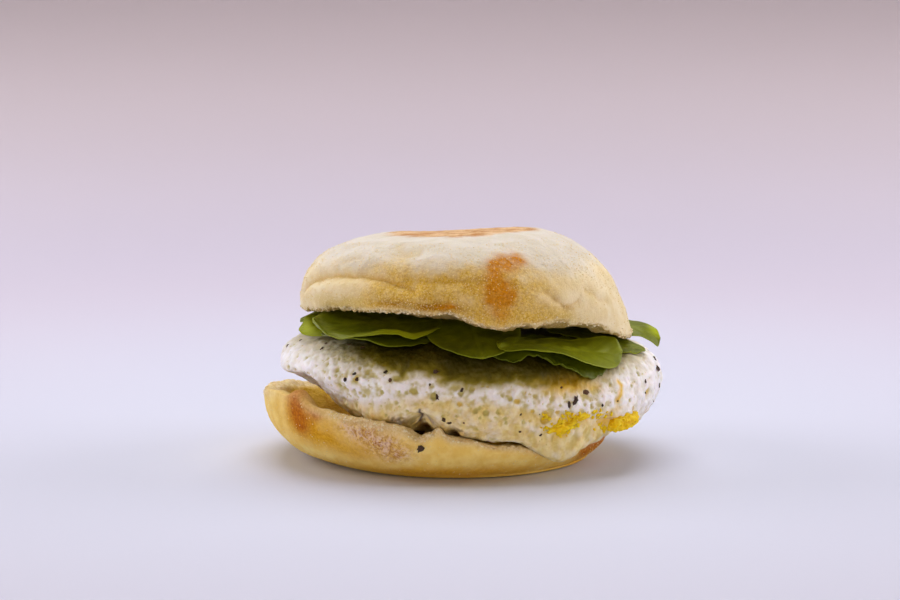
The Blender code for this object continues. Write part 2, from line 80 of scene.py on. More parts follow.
HEEL_SECTIONS = (
    ((0, 0), (40, 0), (44.6, 1.2), (48, 3.6), (49.7, 6.4), (49.4, 9.2),
     (46, 9.5), (38, 9.2), (22, 9), (0, 9)),
    ((0, 0), (38, 0), (43.4, 1.4), (47, 4.2), (49, 7.8), (49.2, 11.2),
     (45.8, 11.2), (38, 10), (22, 9.2), (0, 9)),
    ((0, 0), (35, 0), (42, 1.8), (46.4, 5.2), (48.8, 9.2), (49.4, 13.4),
     (46, 13.2), (38, 11), (22, 9.4), (0, 9)),
    ((0, 0), (31, 0), (40.5, 2.4), (46, 6.6), (48.8, 11), (49.6, 16),
     (46, 15.9), (38, 12), (22, 9.6), (0, 9)),
    ((0, 0), (28, 0), (39.6, 2.6), (45.4, 7), (48.6, 12.2), (49.6, 18.6),
     (46, 18.4), (38, 13), (22, 9.8), (0, 9)),
    ((0, 0), (29, 0), (39.6, 2.4), (45.6, 6.9), (48.9, 12.4), (49.6, 19),
     (46.2, 19), (38, 13.6), (22, 10), (0, 9)),
    ((0, 0), (34, 0), (41.4, 1.8), (46.2, 5.4), (48.8, 9.6), (49.2, 14.6),
     (45.8, 14.6), (38, 11.8), (22, 9.6), (0, 9)),
    ((0, 0), (38, 0), (43.4, 1.2), (47, 3.6), (49, 6.2), (49, 8.6),
     (45.6, 8.9), (38, 9), (22, 9), (0, 9)),
)
EGG_SECTIONS = (
    ((0, 10), (26, 10.4), (43, 11.6), (49.6, 13.2), (53, 17.6), (54.6, 23.2),
     (53, 28), (47.6, 31.6), (36, 35), (20, 36.2), (0, 36.2)),
    ((0, 10), (26, 10.4), (42, 11.6), (47, 13.6), (50, 18), (50.6, 23.5),
     (48.4, 28.6), (43.5, 32.4), (34, 34.8), (20, 36), (0, 36.2)),
    ((0, 10), (26, 10.4), (41, 13.6), (45.4, 16.2), (47.6, 20.4), (47.8, 25),
     (45.6, 29.4), (41, 32.8), (33, 34.8), (20, 35.8), (0, 36.2)),
    ((0, 10), (25, 10.4), (39, 14), (45, 17.6), (48.8, 21.8), (50.2, 26.4),
     (48.6, 30.8), (43.6, 34), (34, 35.6), (20, 36.2), (0, 36.2)),
    ((0, 10), (24, 10.4), (35, 13.4), (41.6, 18.4), (47.4, 22.8), (54.8, 25.8),
     (53.8, 31.6), (47.5, 35.2), (36, 36.4), (20, 36.6), (0, 36.2)),
    ((0, 10), (26, 10.8), (41.5, 15), (47.5, 19), (51.3, 23.6), (53.6, 28.2),
     (51, 33), (44.5, 36.2), (34, 37), (20, 36.8), (0, 36.2)),
    ((0, 10), (26, 10.4), (44, 12.4), (48, 15), (49.3, 19.5), (49, 25),
     (46.8, 30.6), (42.5, 35), (34, 37.2), (20, 37.2), (0, 36.2)),
    ((0, 10), (26, 10.2), (43, 9.2), (48, 10.4), (50.8, 14.6), (51.2, 20.4),
     (48.8, 26.5), (43.8, 32), (34, 35.8), (20, 36.6), (0, 36.2)),
)

# Fine faces along each span of a section, and round the body.
CROWN_ROWS = (3, 10, 9, 10, 12, 16, 20, 20, 14, 5)
HEEL_ROWS = (2, 8, 12, 14, 16, 12, 14, 14, 6)
EGG_ROWS = (2, 4, 14, 16, 18, 16, 18, 16, 8, 3)
CROWN_AROUND = 760
HEEL_AROUND = 700
EGG_AROUND = 800
FRONT = 270
FRONT_CROWDING = 17

# A crease in the crown's skin: its line as (azimuth, height), its depth and its half width.
Fold = namedtuple("Fold", "line depth width")
CROWN_FOLDS = (
    Fold(((188, 47.7), (193, 50.1), (201.8, 52.5), (211.2, 54.4), (219.3, 55.7), (226.3, 56.2),
          (232.9, 56.7), (241.1, 56), (247.5, 55), (252.1, 53.7)), 1.5, 1.3),
    Fold(((250.4, 56.4), (256, 55.9), (264.6, 55.9), (269.3, 56.2), (275.5, 55.9)), 0.8, 1.3),
    Fold(((240.4, 49), (246.9, 48.6), (250, 47.7), (252.9, 46.6)), 0.6, 1.1),
    Fold(((297.1, 52.8), (300.4, 50.6), (303.6, 47.9), (306.5, 48.6), (310.2, 49.6)), 0.6, 1),
    Fold(((314.6, 51.8), (317.8, 50.6), (320.7, 49.3), (326.2, 48.2)), 0.5, 1.1),
    Fold(((236, 64.2), (243, 62.6), (251, 62.9)), 0.5, 1.2),
    Fold(((220, 59.5), (227, 60.6)), 0.45, 1.3),
    Fold(((20, 47), (38, 51), (60, 49.5)), 1.2, 1.4),
    Fold(((84, 52), (104, 50), (128, 53)), 1.2, 1.4),
    Fold(((136, 49), (152, 51), (168, 47.5)), 1, 1.3),
)
CROWN_SIDE_RADIUS = 47.5
# Where the crown's side is baked golden: azimuths at which the gold starts, is full, fades and ends.
GOLDEN_PARTS = ((224, 246, 286, 310), (30, 52, 128, 150))
# The same for the darker band low on the side.
LOW_PARTS = ((204, 220, 304, 318), (15, 40, 140, 165))

# Where the crown's lower edge dips or lifts: azimuth, spread and rise.
CROWN_EDGE_WAVES = (
    (21, 9, 1.5), (150, 14, -0.9), (252, 18, 2.6), (266, 6, 1.3), (280, 6, -0.8), (301, 6, 0.9),
    (335, 11, -1.6),
)
EDGE_WAVE_FADE = (44, 52)
# The crown's side lies past this radius and above this height.
CROWN_SIDE_START = 30
CROWN_LOWEST = 42
# Heights between which the floured top starts, and the gold of the side ends.
FLOUR_FADE = (54.5, 61)
GOLD_FADE = (56, 63)
# The browned disc on top: the radii that it fades between, its middle and how far it is squashed.
GRIDDLE_FADE = (18, 23.5)
GRIDDLE_MIDDLE = -0.6
GRIDDLE_SQUASH = 0.98
GRIDDLE_LOWEST = 55
SPLIT_HIGHEST = 52
# How far a normal's z lies past 0 where the skin faces down, or up.
FACES_DOWN = -0.5
FACES_UP = 0.4
# The torn underside hangs a little at the front right: azimuth, spread and drop.
UNDERSIDE_SAG = (300, 32, 2.2)

# Where the heel's torn rim sinks away from the egg or is pulled up to it: azimuth, spread and rise.
HEEL_RIM_WAVES = (
    (218.5, 4.8, 3.4), (208, 7, 2), (197, 8, 1.2), (265, 3.2, -2), (271.6, 1.9, 1.2), (276, 4, -0.7),
    (290, 9, -1.1), (308, 7, -1.4), (60, 10, -0.8), (96, 8, -1), (140, 10, -0.9), (20, 9, -0.7),
)

# Where the heel's low side is creamy instead of orange: azimuth, spread and strength.
HEEL_CREAM = ((298, 26, 0.75),)

# Where the egg white sags over the heel's rim, or is lifted off it: azimuth, spread, drop, and the
# height that it starts below.
EGG_SAGS = (
    (300, 10, 4.6, 14), (241, 12, 2.2, 21), (327, 9, -1.8, 15), (203, 8, -2.4, 26),
    (252.5, 3.6, -2.8, 20), (246, 3, -0.9, 20), (263.5, 2, -1.3, 19),
)
SAG_FADE = 4

# A soft patch on a side: azimuth, height, half sizes in degrees and millimetres, and strength.
CROWN_TOAST = (
    (290.4, 61, 3.2, 1.5, 0.9), (285.6, 60.8, 4.4, 1.4, 0.95), (280.6, 59.8, 2.8, 1.5, 0.95),
    (279.8, 57.6, 2.8, 2, 1), (285, 59.2, 3.4, 1.5, 0.9), (279.6, 54.4, 4, 2.2, 0.95),
    (284, 53.4, 3, 2.4, 0.9), (281.4, 51, 3.4, 2.4, 0.95), (277.6, 51.8, 1.6, 2, 0.8),
    (280.8, 47.6, 3.4, 2.2, 0.6), (264.8, 48.2, 2, 1.4, 1), (262.2, 47.4, 2, 1, 0.7),
    (73, 52, 5, 3, 0.9), (156, 57, 4, 2.4, 0.8), (20, 50, 3, 2.4, 0.5),
)
# A brown band low on the crown's front and back, and painted shade in and below the creases at the front
# right.
CROWN_BROWN_AND_SHADE = (
    (261, 47.6, 9, 2.6, 1), (247, 49, 5, 1.8, 0.7), (300.5, 50.4, 1.4, 1.2, 0.5),
    (305, 48, 2.4, 0.9, 0.5), (272, 55, 4, 1, 0.35), (96, 47, 20, 2, 0.8),
)
HEEL_TOAST = (
    (219.5, 16.8, 5, 3.2, 1), (221.5, 13.8, 4, 2.6, 0.9), (217, 19.6, 4.5, 1.2, 0.6),
    (228.5, 17.6, 4, 1.8, 0.75), (120, 9, 9, 2.6, 0.8), (60, 6.5, 7, 2, 0.7), (343, 7, 9, 4.4, 1),
    (332, 5.4, 7, 3.2, 1),
)
HEEL_ORANGE = (
    (198, 14, 16, 9, 0.3), (221, 15, 10, 5.5, 1), (231, 11.5, 10, 4, 0.95), (243, 8, 8, 3, 0.8),
    (262, 2.8, 22, 1.6, 0.8), (288, 2.2, 22, 1.5, 0.8), (120, 9, 30, 6, 0.9), (50, 6, 26, 4, 0.8),
    (345, 5, 14, 4.5, 1),
)
# A pale smear on the heel, with a painted pinkish sheen where it is wet.
HEEL_SMEAR_AND_SHEEN = (
    (246.5, 14.2, 6, 2.4, 1), (253.5, 11.6, 7, 3, 1), (257, 8.4, 6, 2.4, 0.8), (240, 15.6, 4, 1.4, 0.6),
    (30, 8.5, 9, 2, 0.5),
)
# The painted shade under the leaves on the egg's side starts at this height above each azimuth.
SHADE_EDGE = (
    (0, 32.5), (30, 31.5), (60, 30), (90, 30.6), (120, 29.8), (150, 32.5), (170, 34), (187.8, 34.4),
    (197, 35.1), (209.6, 34.9), (219.4, 34.1), (226, 33.1), (234.1, 31.9), (241.2, 31), (245.7, 30.4),
    (247.8, 29.2), (249.2, 30.2), (252.1, 30.8), (256.4, 30.2), (262.4, 27.8), (273.8, 27.2),
    (286, 27.5), (291.9, 26.6), (297, 25.9), (305.1, 25.7), (311.4, 26.1), (317.5, 26.8), (322.2, 27.6),
    (330, 28.8), (342.5, 30.2),
)
# How softly the painted shade starts, and how fast it deepens, in millimetres.
SHADE_SOFTNESS = ((0, 3), (205, 4.5), (224, 4.2), (240, 1.5), (306, 1.5), (318, 3), (345, 3))
SHADE_DEPTH = 2.3
# Below this line the egg's side is painted tan: painted warm shade and bounce light on its turned-under lower
# side.
SHELF = (
    (218, 21), (225.6, 21.6), (232.3, 22), (240.2, 22.8), (247.1, 24), (255.1, 24.8), (262.4, 24.4),
    (271.9, 23.4), (281.5, 22.3), (292, 20.5), (300, 18.5), (312, 16.5), (330, 13.5), (350, 15),
    (60, 19), (120, 20), (190, 20),
)
EGG_GOLD = (
    (303, 26.6, 10, 2.6, 1), (312, 25.2, 4, 1.2, 0.5), (303, 17.8, 8, 1.1, 0.7),
    (293.2, 18.4, 1.6, 1.8, 0.9), (303.7, 15.8, 3.2, 0.8, 0.9), (299.6, 13.4, 2.4, 0.9, 0.9),
    (317, 15.6, 4, 2.2, 0.9), (320, 18.6, 4, 1, 0.5), (262, 15.2, 10, 0.8, 0.4), (110, 27, 9, 2.4, 0.8),
    (20, 24, 6, 2, 0.6),
)
# Painted dark shade on the egg's underside in the gaps where it lifts off the heel.
EGG_GAP_SHADE = ((252.5, 15.2, 4.5, 2.6, 1), (245, 17.8, 4, 1.2, 0.8), (264, 14.2, 4, 1.8, 1))
# A thin curl of yolk and a grey sliver that show in the egg's side.
YOLK_CURL = ((323.3, 25.8), (323.7, 24.9), (322.9, 23.3), (321.7, 22.1), (321, 20.9))
GREY_SLIVER = ((253.2, 21.2), (252.4, 18.9), (251.4, 17.4))
# Where the painted shade in the low places of the egg's side is strongest.
DIP_SHADE_PARTS = ((214, 232, 312, 324), (20, 40, 140, 160))
# Places where the egg is pulled out or bitten in, as patches with a push in millimetres.
EGG_PUSHES = (
    (208.5, 24.6, 5, 2, -1.4), (198, 28.6, 3.6, 1.6, 1), (236, 20, 9, 2.6, 0.8),
    (272, 19.5, 8, 2.6, 0.5), (253.5, 16.4, 3.6, 1.8, -1.6), (315.8, 15, 4, 2.4, -1.9),
)


def to_row_frame(points):
    """Metres in the row's frame from millimetres about the sandwich's own axis."""
    return (np.asarray(points) - OUTLINE_CENTRE) * MM


def catmull(a, b, c, d, t):
    """The point at t on the smooth curve from b to c."""
    squared, cubed = (2 * a - 5 * b + 4 * c - d) * t**2, (3 * b - a - 3 * c + d) * t**3
    return 0.5 * (2 * b + (c - a) * t + squared + cubed)


def turn_between(a, b):
    """The shortest turn from azimuth b to azimuth a."""
    return (a - b + TURN / 2) % TURN - TURN / 2


def smooth_step(low, high, value):
    t = np.clip((value - low) / (high - low), 0, 1)
    return t * t * (3 - 2 * t)


def bell(distance, spread):
    """1 at no distance, falling softly to 0 past the spread."""
    return np.exp(-((distance / spread) ** 2))


def lumps(points, size, seed):
    """Smooth noise between about -1 and 1 at each point, with lumps of the given size."""
    shift = np.array((1, 2.3, 5.1)) * seed
    flat = (points / size + shift).reshape(-1, 3)
    return np.array([noise.noise(place) for place in flat.tolist()]).reshape(points.shape[:-1])


def rough(points, size, seed, octaves=3):
    """Noise with ever finer lumps, down from the given size."""
    return sum(lumps(points, size / 2**step, seed + step) / 2**step for step in range(octaves))


def patch(azimuth, height, middle_azimuth, middle_height, wide, tall):
    """1 in the middle of a patch on a side, falling softly to 0 round it."""
    across = turn_between(azimuth, middle_azimuth) / wide
    up = (height - middle_height) / tall
    return np.exp(-(across**2 + up**2))


def patches(azimuth, height, wanted):
    """How strongly soft patches cover each place, between 0 and 1."""
    clear = np.ones(azimuth.shape)
    for *form, strength in wanted:
        clear *= 1 - strength * patch(azimuth, height, *form)
    return 1 - clear


def over_parts(azimuth, parts):
    """1 within the stated parts of the side, and 0 away from them."""
    covers = [
        smooth_step(start, full, azimuth) * (1 - smooth_step(fade, end, azimuth))
        for start, full, fade, end in parts
    ]
    return np.max(covers, axis=0)


def height_round(azimuth, line):
    """The height of a line round a side, at each azimuth."""
    return np.interp(azimuth, [at for at, _ in line], [height for _, height in line], period=TURN)


def waves(azimuth, wanted):
    """The summed rise of a rim's waves at each azimuth."""
    return sum(rise * bell(turn_between(azimuth, middle), spread) for middle, spread, rise in wanted)


def section_at(sections, azimuths):
    """The control points of a body's sections at some azimuths, between the stated ones."""
    table = np.array(sections, float)
    place = (azimuths % TURN) / TURN * len(table)
    first = place.astype(int)
    near = [table[(first + step) % len(table)] for step in (-1, 0, 1, 2)]
    return catmull(*near, (place - first)[:, None, None])


def section_points(control, rows):
    """Points along sections, which go on as their own mirror images past both ends."""
    line = np.concatenate((control[:, 1:2] * MIRROR, control, control[:, -2:-1] * MIRROR), axis=1)
    points = [
        catmull(line[:, i], line[:, i + 1], line[:, i + 2], line[:, i + 3], step / count)
        for i, count in enumerate(rows)
        for step in range(count)
    ]
    points.append(control[:, -1])
    points = np.stack(points, axis=1)
    points[..., 0] = np.maximum(points[..., 0], 0)
    return points


def crowded_azimuths(count):
    """Azimuths all the way round, closer together at the front."""
    even = TURN * np.arange(count) / count
    return even - FRONT_CROWDING * np.sin(np.radians(even - FRONT))


class Skin:
    """A body's closed skin: lines of points from the middle of the underside to that of the top."""

    def __init__(self, sections, rows, around, centre):
        self.azimuths = crowded_azimuths(around)
        self.control = section_at(sections, self.azimuths)
        lines = section_points(self.control, rows)
        angle = np.radians(self.azimuths)[:, None]
        x = centre[0] + lines[..., 0] * np.cos(angle)
        y = centre[1] + lines[..., 0] * np.sin(angle)
        self.points = np.stack((x, y, lines[..., 1]), axis=-1)
        self.centre = centre
        self.masks = {}
        self.facing = None

    def polar(self):
        """Azimuth, radius and height of every point."""
        dx = self.points[..., 0] - self.centre[0]
        dy = self.points[..., 1] - self.centre[1]
        return np.degrees(np.arctan2(dy, dx)) % TURN, np.hypot(dx, dy), self.points[..., 2]

    def normals(self):
        around = np.roll(self.points, -1, axis=0) - np.roll(self.points, 1, axis=0)
        up = np.gradient(self.points, axis=1)
        normal = np.cross(around, up)
        normal[:, 0] = (0, 0, -1)
        normal[:, -1] = (0, 0, 1)
        return normal / np.maximum(np.linalg.norm(normal, axis=-1, keepdims=True), 1e-12)

    def push(self, amount):
        """Moves the skin out along its normals."""
        self.points = self.points + self.normals() * amount[..., None]

    def lift(self, amount):
        self.points[..., 2] += amount

    def column(self, azimuth):
        """The line of points nearest to an azimuth."""
        return int(np.argmin(np.abs(turn_between(self.azimuths, azimuth))))

    def find(self, azimuth, height, low_row, high_row):
        """The column and row of the side's point nearest to an azimuth and a height."""
        column = self.column(azimuth)
        row = low_row + int(np.argmin(np.abs(self.points[column, low_row:high_row, 2] - height)))
        return column, row

    def flat(self, values):
        """Values in the order of the mesh's vertices: one for each end, the rest in between."""
        return np.concatenate((values[:1, 0], values[:, 1:-1].reshape(-1, *values.shape[2:]), values[:1, -1]))

    def faces(self):
        columns, rows = self.points.shape[0], self.points.shape[1] - 2
        index = 1 + np.arange(columns * rows).reshape(columns, rows)
        after = np.roll(index, -1, axis=0)
        last = columns * rows + 1
        quads = np.stack((index[:, :-1], after[:, :-1], after[:, 1:], index[:, 1:]), axis=-1)
        under = [(0, b, a) for a, b in zip(index[:, 0].tolist(), after[:, 0].tolist())]
        over = [(last, a, b) for a, b in zip(index[:, -1].tolist(), after[:, -1].tolist())]
        return quads.reshape(-1, 4).tolist() + under + over

    def tree(self):
        return BVHTree.FromPolygons(self.flat(self.points).tolist(), self.faces())

    def build(self, name, finish):
        masks = {key: self.flat(values) for key, values in self.masks.items()}
        return mesh_piece(name, self.flat(self.points), self.faces(), finish, masks)


def mesh_piece(name, points, faces, finish, masks=None, smooth=True):
    """A mesh object in the row's frame, with its masks as point attributes."""
    mesh = bpy.data.meshes.new(name)
    mesh.from_pydata(to_row_frame(points).tolist(), [], faces)
    for key, values in (masks or {}).items():
        layer = mesh.attributes.new(key, "FLOAT", "POINT")
        layer.data.foreach_set("value", np.asarray(values, np.float32))
    if smooth:
        mesh.shade_smooth()
    mesh.materials.append(finish)
    piece = bpy.data.objects.new(name, mesh)
    bpy.context.scene.collection.objects.link(piece)
    return piece


def beside_line(azimuth, height, line, radius):
    """Distance from each place to a line drawn on a side, and how far the place lies above it."""
    arc = math.radians(1) * radius
    nearest = np.full(azimuth.shape, 1e9)
    above = np.zeros(azimuth.shape)
    for (az0, z0), (az1, z1) in zip(line, line[1:]):
        run, rise = turn_between(az1, az0) * arc, z1 - z0
        x, z = turn_between(azimuth, az0) * arc, height - z0
        share = np.clip((x * run + z * rise) / (run**2 + rise**2), 0, 1)
        dx, dz = x - share * run, z - share * rise
        distance = np.hypot(dx, dz)
        closer = distance < nearest
        nearest = np.where(closer, distance, nearest)
        above = np.where(closer, dz, above)
    return nearest, above


def shape_crown(skin):
    """The muffin's upper half: soft dents, creases, a griddle-flat top and a torn lower edge."""
    azimuth, radius, height = skin.polar()
    points = skin.points
    under = skin.normals()[..., 2] < FACES_DOWN
    move = 0.5 * lumps(points, 14, 3)
    side = (radius > CROWN_SIDE_START) & (height > CROWN_LOWEST)
    wander_az = azimuth + 0.9 * lumps(points, 5, 21)
    wander_z = height + 0.6 * lumps(points, 4, 22)
    # Painted shade along the creases.
    crease = np.zeros(azimuth.shape)
    for fold in CROWN_FOLDS:
        distance, above = beside_line(wander_az, wander_z, fold.line, CROWN_SIDE_RADIUS)
        soft = bell(distance, 1.3 * fold.width)
        sharp = bell(distance, 0.45 * fold.width)
        swell = 0.33 * bell(distance - 2.6 * fold.width, 1.6 * fold.width)
        move += side * fold.depth * (swell * np.where(above < 0, 1, 0.5) - 0.75 * soft - 0.35 * sharp)
        crease = np.maximum(crease, side * (0.45 * soft + 0.6 * sharp) * min(1, fold.depth))
    move += side * 0.25 * lumps(points, 6, 8)
    move += under * 0.5 * lumps(points, 5, 7) * smooth_step(20, 44, radius)
    rise = waves(azimuth, CROWN_EDGE_WAVES) * smooth_step(30, 44, radius)
    skin.push(move)
    skin.lift(rise * (1 - smooth_step(*EDGE_WAVE_FADE, height)))
    hangs = under * smooth_step(20, 30, radius) * (1 - smooth_step(41, 46, radius))
    skin.lift(-waves(azimuth, (UNDERSIDE_SAG,)) * hangs)

    lip = skin.control[:, 3, 1][:, None] + waves(azimuth, CROWN_EDGE_WAVES)
    height = skin.points[..., 2]
    torn = bell(np.maximum(height - lip, 0), 0.7) * smooth_step(40, 44, radius)
    brown_and_shade_share = patches(wander_az, wander_z, CROWN_BROWN_AND_SHADE)
    crumb = np.where(under, 1, torn)
    skin.push(0.14 * rough(points, 4, 31) + 0.07 * rough(points, 1.1, 35, 2))
    skin.push(crumb * (0.42 * rough(points, 2.2, 41) + 0.05))
    skin.push(-0.9 * under * np.maximum(0, lumps(points, 3.4, 45) - 0.1))
    skin.lift(torn * 0.35 * rough(points, 1.8, 47))

    disc = np.hypot(points[..., 0] - GRIDDLE_MIDDLE, points[..., 1] * GRIDDLE_SQUASH)
    disc = disc + 3 * lumps(points, 7, 51) + 1.6 * rough(points, 2.4, 52)
    toast = patches(wander_az, wander_z, CROWN_TOAST)
    drift = 2 * rough(points, 7, 61)
    above_lip = height - lip
    gold = over_parts(azimuth + 2 * drift, GOLDEN_PARTS) * (1 - smooth_step(*GOLD_FADE, height + drift))
    skin.masks = {
        "top": smooth_step(*FLOUR_FADE, height + drift),
        "gold": np.clip(gold * (0.92 + 0.45 * rough(points, 3, 66)), 0, 1),
        "low": over_parts(azimuth, LOW_PARTS) * (1 - smooth_step(1, 6.5, above_lip + drift)),
        "toast": np.clip(toast * (1.15 + 0.5 * rough(points, 2, 63)), 0, 1),
        "brown": np.clip(brown_and_shade_share * (1.1 + 0.5 * rough(points, 2, 67)), 0, 1),
        "griddle": (1 - smooth_step(*GRIDDLE_FADE, disc)) * (height > GRIDDLE_LOWEST),
        "crease": crease,
        "crumb": np.clip(crumb * (0.8 - 0.6 * brown_and_shade_share), 0, 1),
        # Painted shade on the downward-facing underside.
        "split": smooth_step(-0.5, -0.85, skin.normals()[..., 2]) * (height < SPLIT_HIGHEST),
    }


# Where the heel's rim is baked over instead of torn.
BAKED_RIM = 214
BAKED_SPREAD = 20


def shape_heel(skin):
    """The muffin's lower half: a flat base, a toasted side and a dished, torn top."""
    azimuth, radius, height = skin.polar()
    points = skin.points
    over = skin.normals()[..., 2] > FACES_UP
    dented = smooth_step(1, 4, height)
    dents = 0.45 * lumps(points, 13, 1) * dented
    skin.push(dents + over * 0.5 * lumps(points, 5, 4) * smooth_step(20, 40, radius))
    rim = skin.control[:, 5, 1][:, None]
    baked = bell(turn_between(azimuth, BAKED_RIM), BAKED_SPREAD)
    torn = bell(height - rim, 1.5) * smooth_step(43, 46, radius) * (1 - 0.8 * baked)
    skin.lift(waves(azimuth, HEEL_RIM_WAVES) * bell(height - rim, 3) * smooth_step(40, 46, radius))
    inner = over * (1 - torn) * smooth_step(47.5, 45, radius)
    skin.push(dented * (0.12 * rough(points, 4, 131) + 0.05 * lumps(points, 1.1, 135)))
    skin.push(torn * (0.4 * rough(points, 2.4, 141)))
    skin.lift(torn * 0.45 * rough(points, 2, 147))
    skin.push(inner * (0.5 * rough(points, 3, 151) - 0.9 * np.maximum(0, lumps(points, 3.8, 153) - 0.1)))
    smear = patches(azimuth + 1.5 * lumps(points, 4, 155), height, HEEL_SMEAR_AND_SHEEN) * (1 - inner)
    skin.push(0.4 * smear * np.maximum(0, rough(points, 1.8, 157)))
    skin.points[..., 2] = np.maximum(skin.points[..., 2], 0)
    wander_az = azimuth + 1.2 * lumps(points, 3, 163)
    orange = patches(azimuth, height, HEEL_ORANGE) + 0.2 * rough(points, 5, 161)
    low = 1 - smooth_step(0.5, 5.5, height + 1.2 * rough(points, 6, 165))
    crust = 1 - inner * (1 - baked)
    skin.masks = {
        "orange": np.clip(orange, 0, 1) * crust,
        "toast": np.clip(1.2 * patches(wander_az, height, HEEL_TOAST), 0, 1) * crust,
        "smear": smear,
        "inner": inner,
        "rim": torn,
        "low": low * (1 - waves(azimuth, HEEL_CREAM)),
    }


# Bubbles burst open on the egg's side: azimuth, height and radius. GOLDEN_BUBBLES are golden inside.
EGG_BUBBLES = (
    (219, 32.8, .6), (219.8, 31.3, .6), (219.8, 29.4, .5), (224.9, 30.4, .7), (224.9, 28.8, .55),
    (222.5, 27.9, .6), (220.6, 25.5, .4), (222.5, 25.7, .4), (225.6, 25.9, .8), (227.5, 25.6, .6),
    (228.6, 23.2, .7), (223.3, 21.3, .8), (222.5, 19.1, .5), (233.4, 24.5, .6), (234.5, 24.1, .6),
    (230.1, 20.1, .75), (232.7, 31.4, .6), (235.5, 30.5, .9), (245.4, 29.6, 1), (237, 27, .4),
    (241.3, 25.5, .75), (249.1, 25.7, .7), (251.4, 26.1, 1), (245.8, 22.9, .7), (236.3, 21.9, .4),
    (249.1, 20.6, .5), (241.9, 19.2, .5), (202.8, 31.6, .5), (208.3, 31.8, .6), (200.6, 28.3, .7),
    (215.4, 30.5, .4), (256.7, 27.7, 1), (257.6, 25, 1.1), (265.9, 25.7, 1), (264.6, 19.4, .45),
    (270.6, 21.2, .9), (271.6, 21.7, .8), (273.8, 20.5, .9), (277.6, 20.7, .7), (279.2, 25, .6),
    (281.8, 24.1, .6), (289.9, 24.5, .8), (295.7, 23.4, .8), (286, 17.5, .6), (279.8, 18.9, .6),
    (280.2, 17.7, .6), (269.4, 26.8, 1), (271.9, 19.3, .5), (288.3, 25.1, .4), (309.9, 20.6, .7),
    (307.3, 21.1, .5), (300.9, 24.3, .5), (298.4, 21.5, .4), (320.2, 23.6, .4), (319.4, 25.5, .7),
    (329.5, 24.1, .6), (326.6, 20.3, .6), (348.9, 24.2, .5), (335.9, 28.3, .7), (335, 26.7, .8),
)
GOLDEN_BUBBLES = (
    (265.6, 22.9, .8), (284, 23.4, .8), (288.9, 20.4, .6), (293.3, 19.6, .9), (293, 17.7, 1.2),
    (297.4, 19.7, .7), (337.6, 21.2, 1.2), (329.1, 17.8, .8), (232.3, 28.6, .8),
)
BUBBLE_SEED = 5
SMALL_BUBBLES = 620
SMALL_RADIUS = (0.18, 0.42)
BACK_BUBBLES = 130
BACK_RADIUS = (0.4, 1)
BACK_AZIMUTHS = (-8, 198)
BUBBLE_DEPTH = 0.85


def egg_bubbles(skin, low_row, high_row):
    """Places and sizes of open bubbles and how golden they are: the stated ones, and more all over."""
    draw = random.Random(BUBBLE_SEED)
    found = []
    for stated, gold in ((EGG_BUBBLES, 0), (GOLDEN_BUBBLES, 1)):
        found += [(*skin.find(*place, low_row, high_row), size, gold) for *place, size in stated]
    for count, azimuths, sizes in (
        (SMALL_BUBBLES, (0, TURN), SMALL_RADIUS),
        (BACK_BUBBLES, BACK_AZIMUTHS, BACK_RADIUS),
    ):
        for _ in range(count):
            column = skin.column(draw.uniform(*azimuths))
            row = draw.randrange(low_row, high_row)
            size = sizes[0] + (sizes[1] - sizes[0]) * draw.random() ** 1.5
            found.append((column, row, size, draw.random() ** 4))
    return found


def carve_bubbles(skin, bubbles):
    """Presses uneven pits into the skin. Returns masks of their hollows, for an olive tint and painted shade,
    and of the golden ones.
    """
    draw = random.Random(BUBBLE_SEED + 1)
    flat = skin.points.reshape(-1, 3)
    tree = kdtree.KDTree(len(flat))
    for index, place in enumerate(flat.tolist()):
        tree.insert(place, index)
    tree.balance()
    depth, hollow, golden = np.zeros((3, len(flat)))
    rows = skin.points.shape[1]
    for column, row, size, gold in bubbles:
        centre = Vector(flat[column * rows + row])
        grain = Vector([draw.gauss(0, 1) for _ in range(3)]).normalized()
        squeeze = draw.uniform(0, 0.6)
        for place, index, distance in tree.find_range(centre, 1.7 * size):
            away = place - centre
            narrowed = math.sqrt(max(0, distance**2 - squeeze * away.dot(grain) ** 2))
            share = narrowed / size * (1 + 0.35 * noise.noise(place / (0.7 * size)))
            bowl = max(0, 1 - share**2) ** 0.7
            depth[index] = min(depth[index], -BUBBLE_DEPTH * size * bowl)
            hollow[index] = max(hollow[index], min(1, 1.4 * bowl))
            golden[index] = max(golden[index], gold * min(1, 1.4 * bowl))
    shape = skin.points.shape[:2]
    skin.push(depth.reshape(shape))
    return hollow.reshape(shape), golden.reshape(shape)


NEIGHBOUR_REACH = 12


def keep_clear(skin, tree, gap):
    """Pushes a skin out of a neighbouring body, to the given gap."""
    flat = skin.points.reshape(-1, 3)
    for index, place in enumerate(flat.tolist()):
        near, normal, _, _ = tree.find_nearest(Vector(place), NEIGHBOUR_REACH)
        if near is None:
            continue
        clear = (Vector(place) - near).dot(normal)
        if clear < gap:
            flat[index] = near + normal * gap
    skin.points = flat.reshape(skin.points.shape)


EGG_SIDE_ROWS = (24, 92)
EGG_SIDE_RADIUS = 50
HEEL_GAP = 0.3


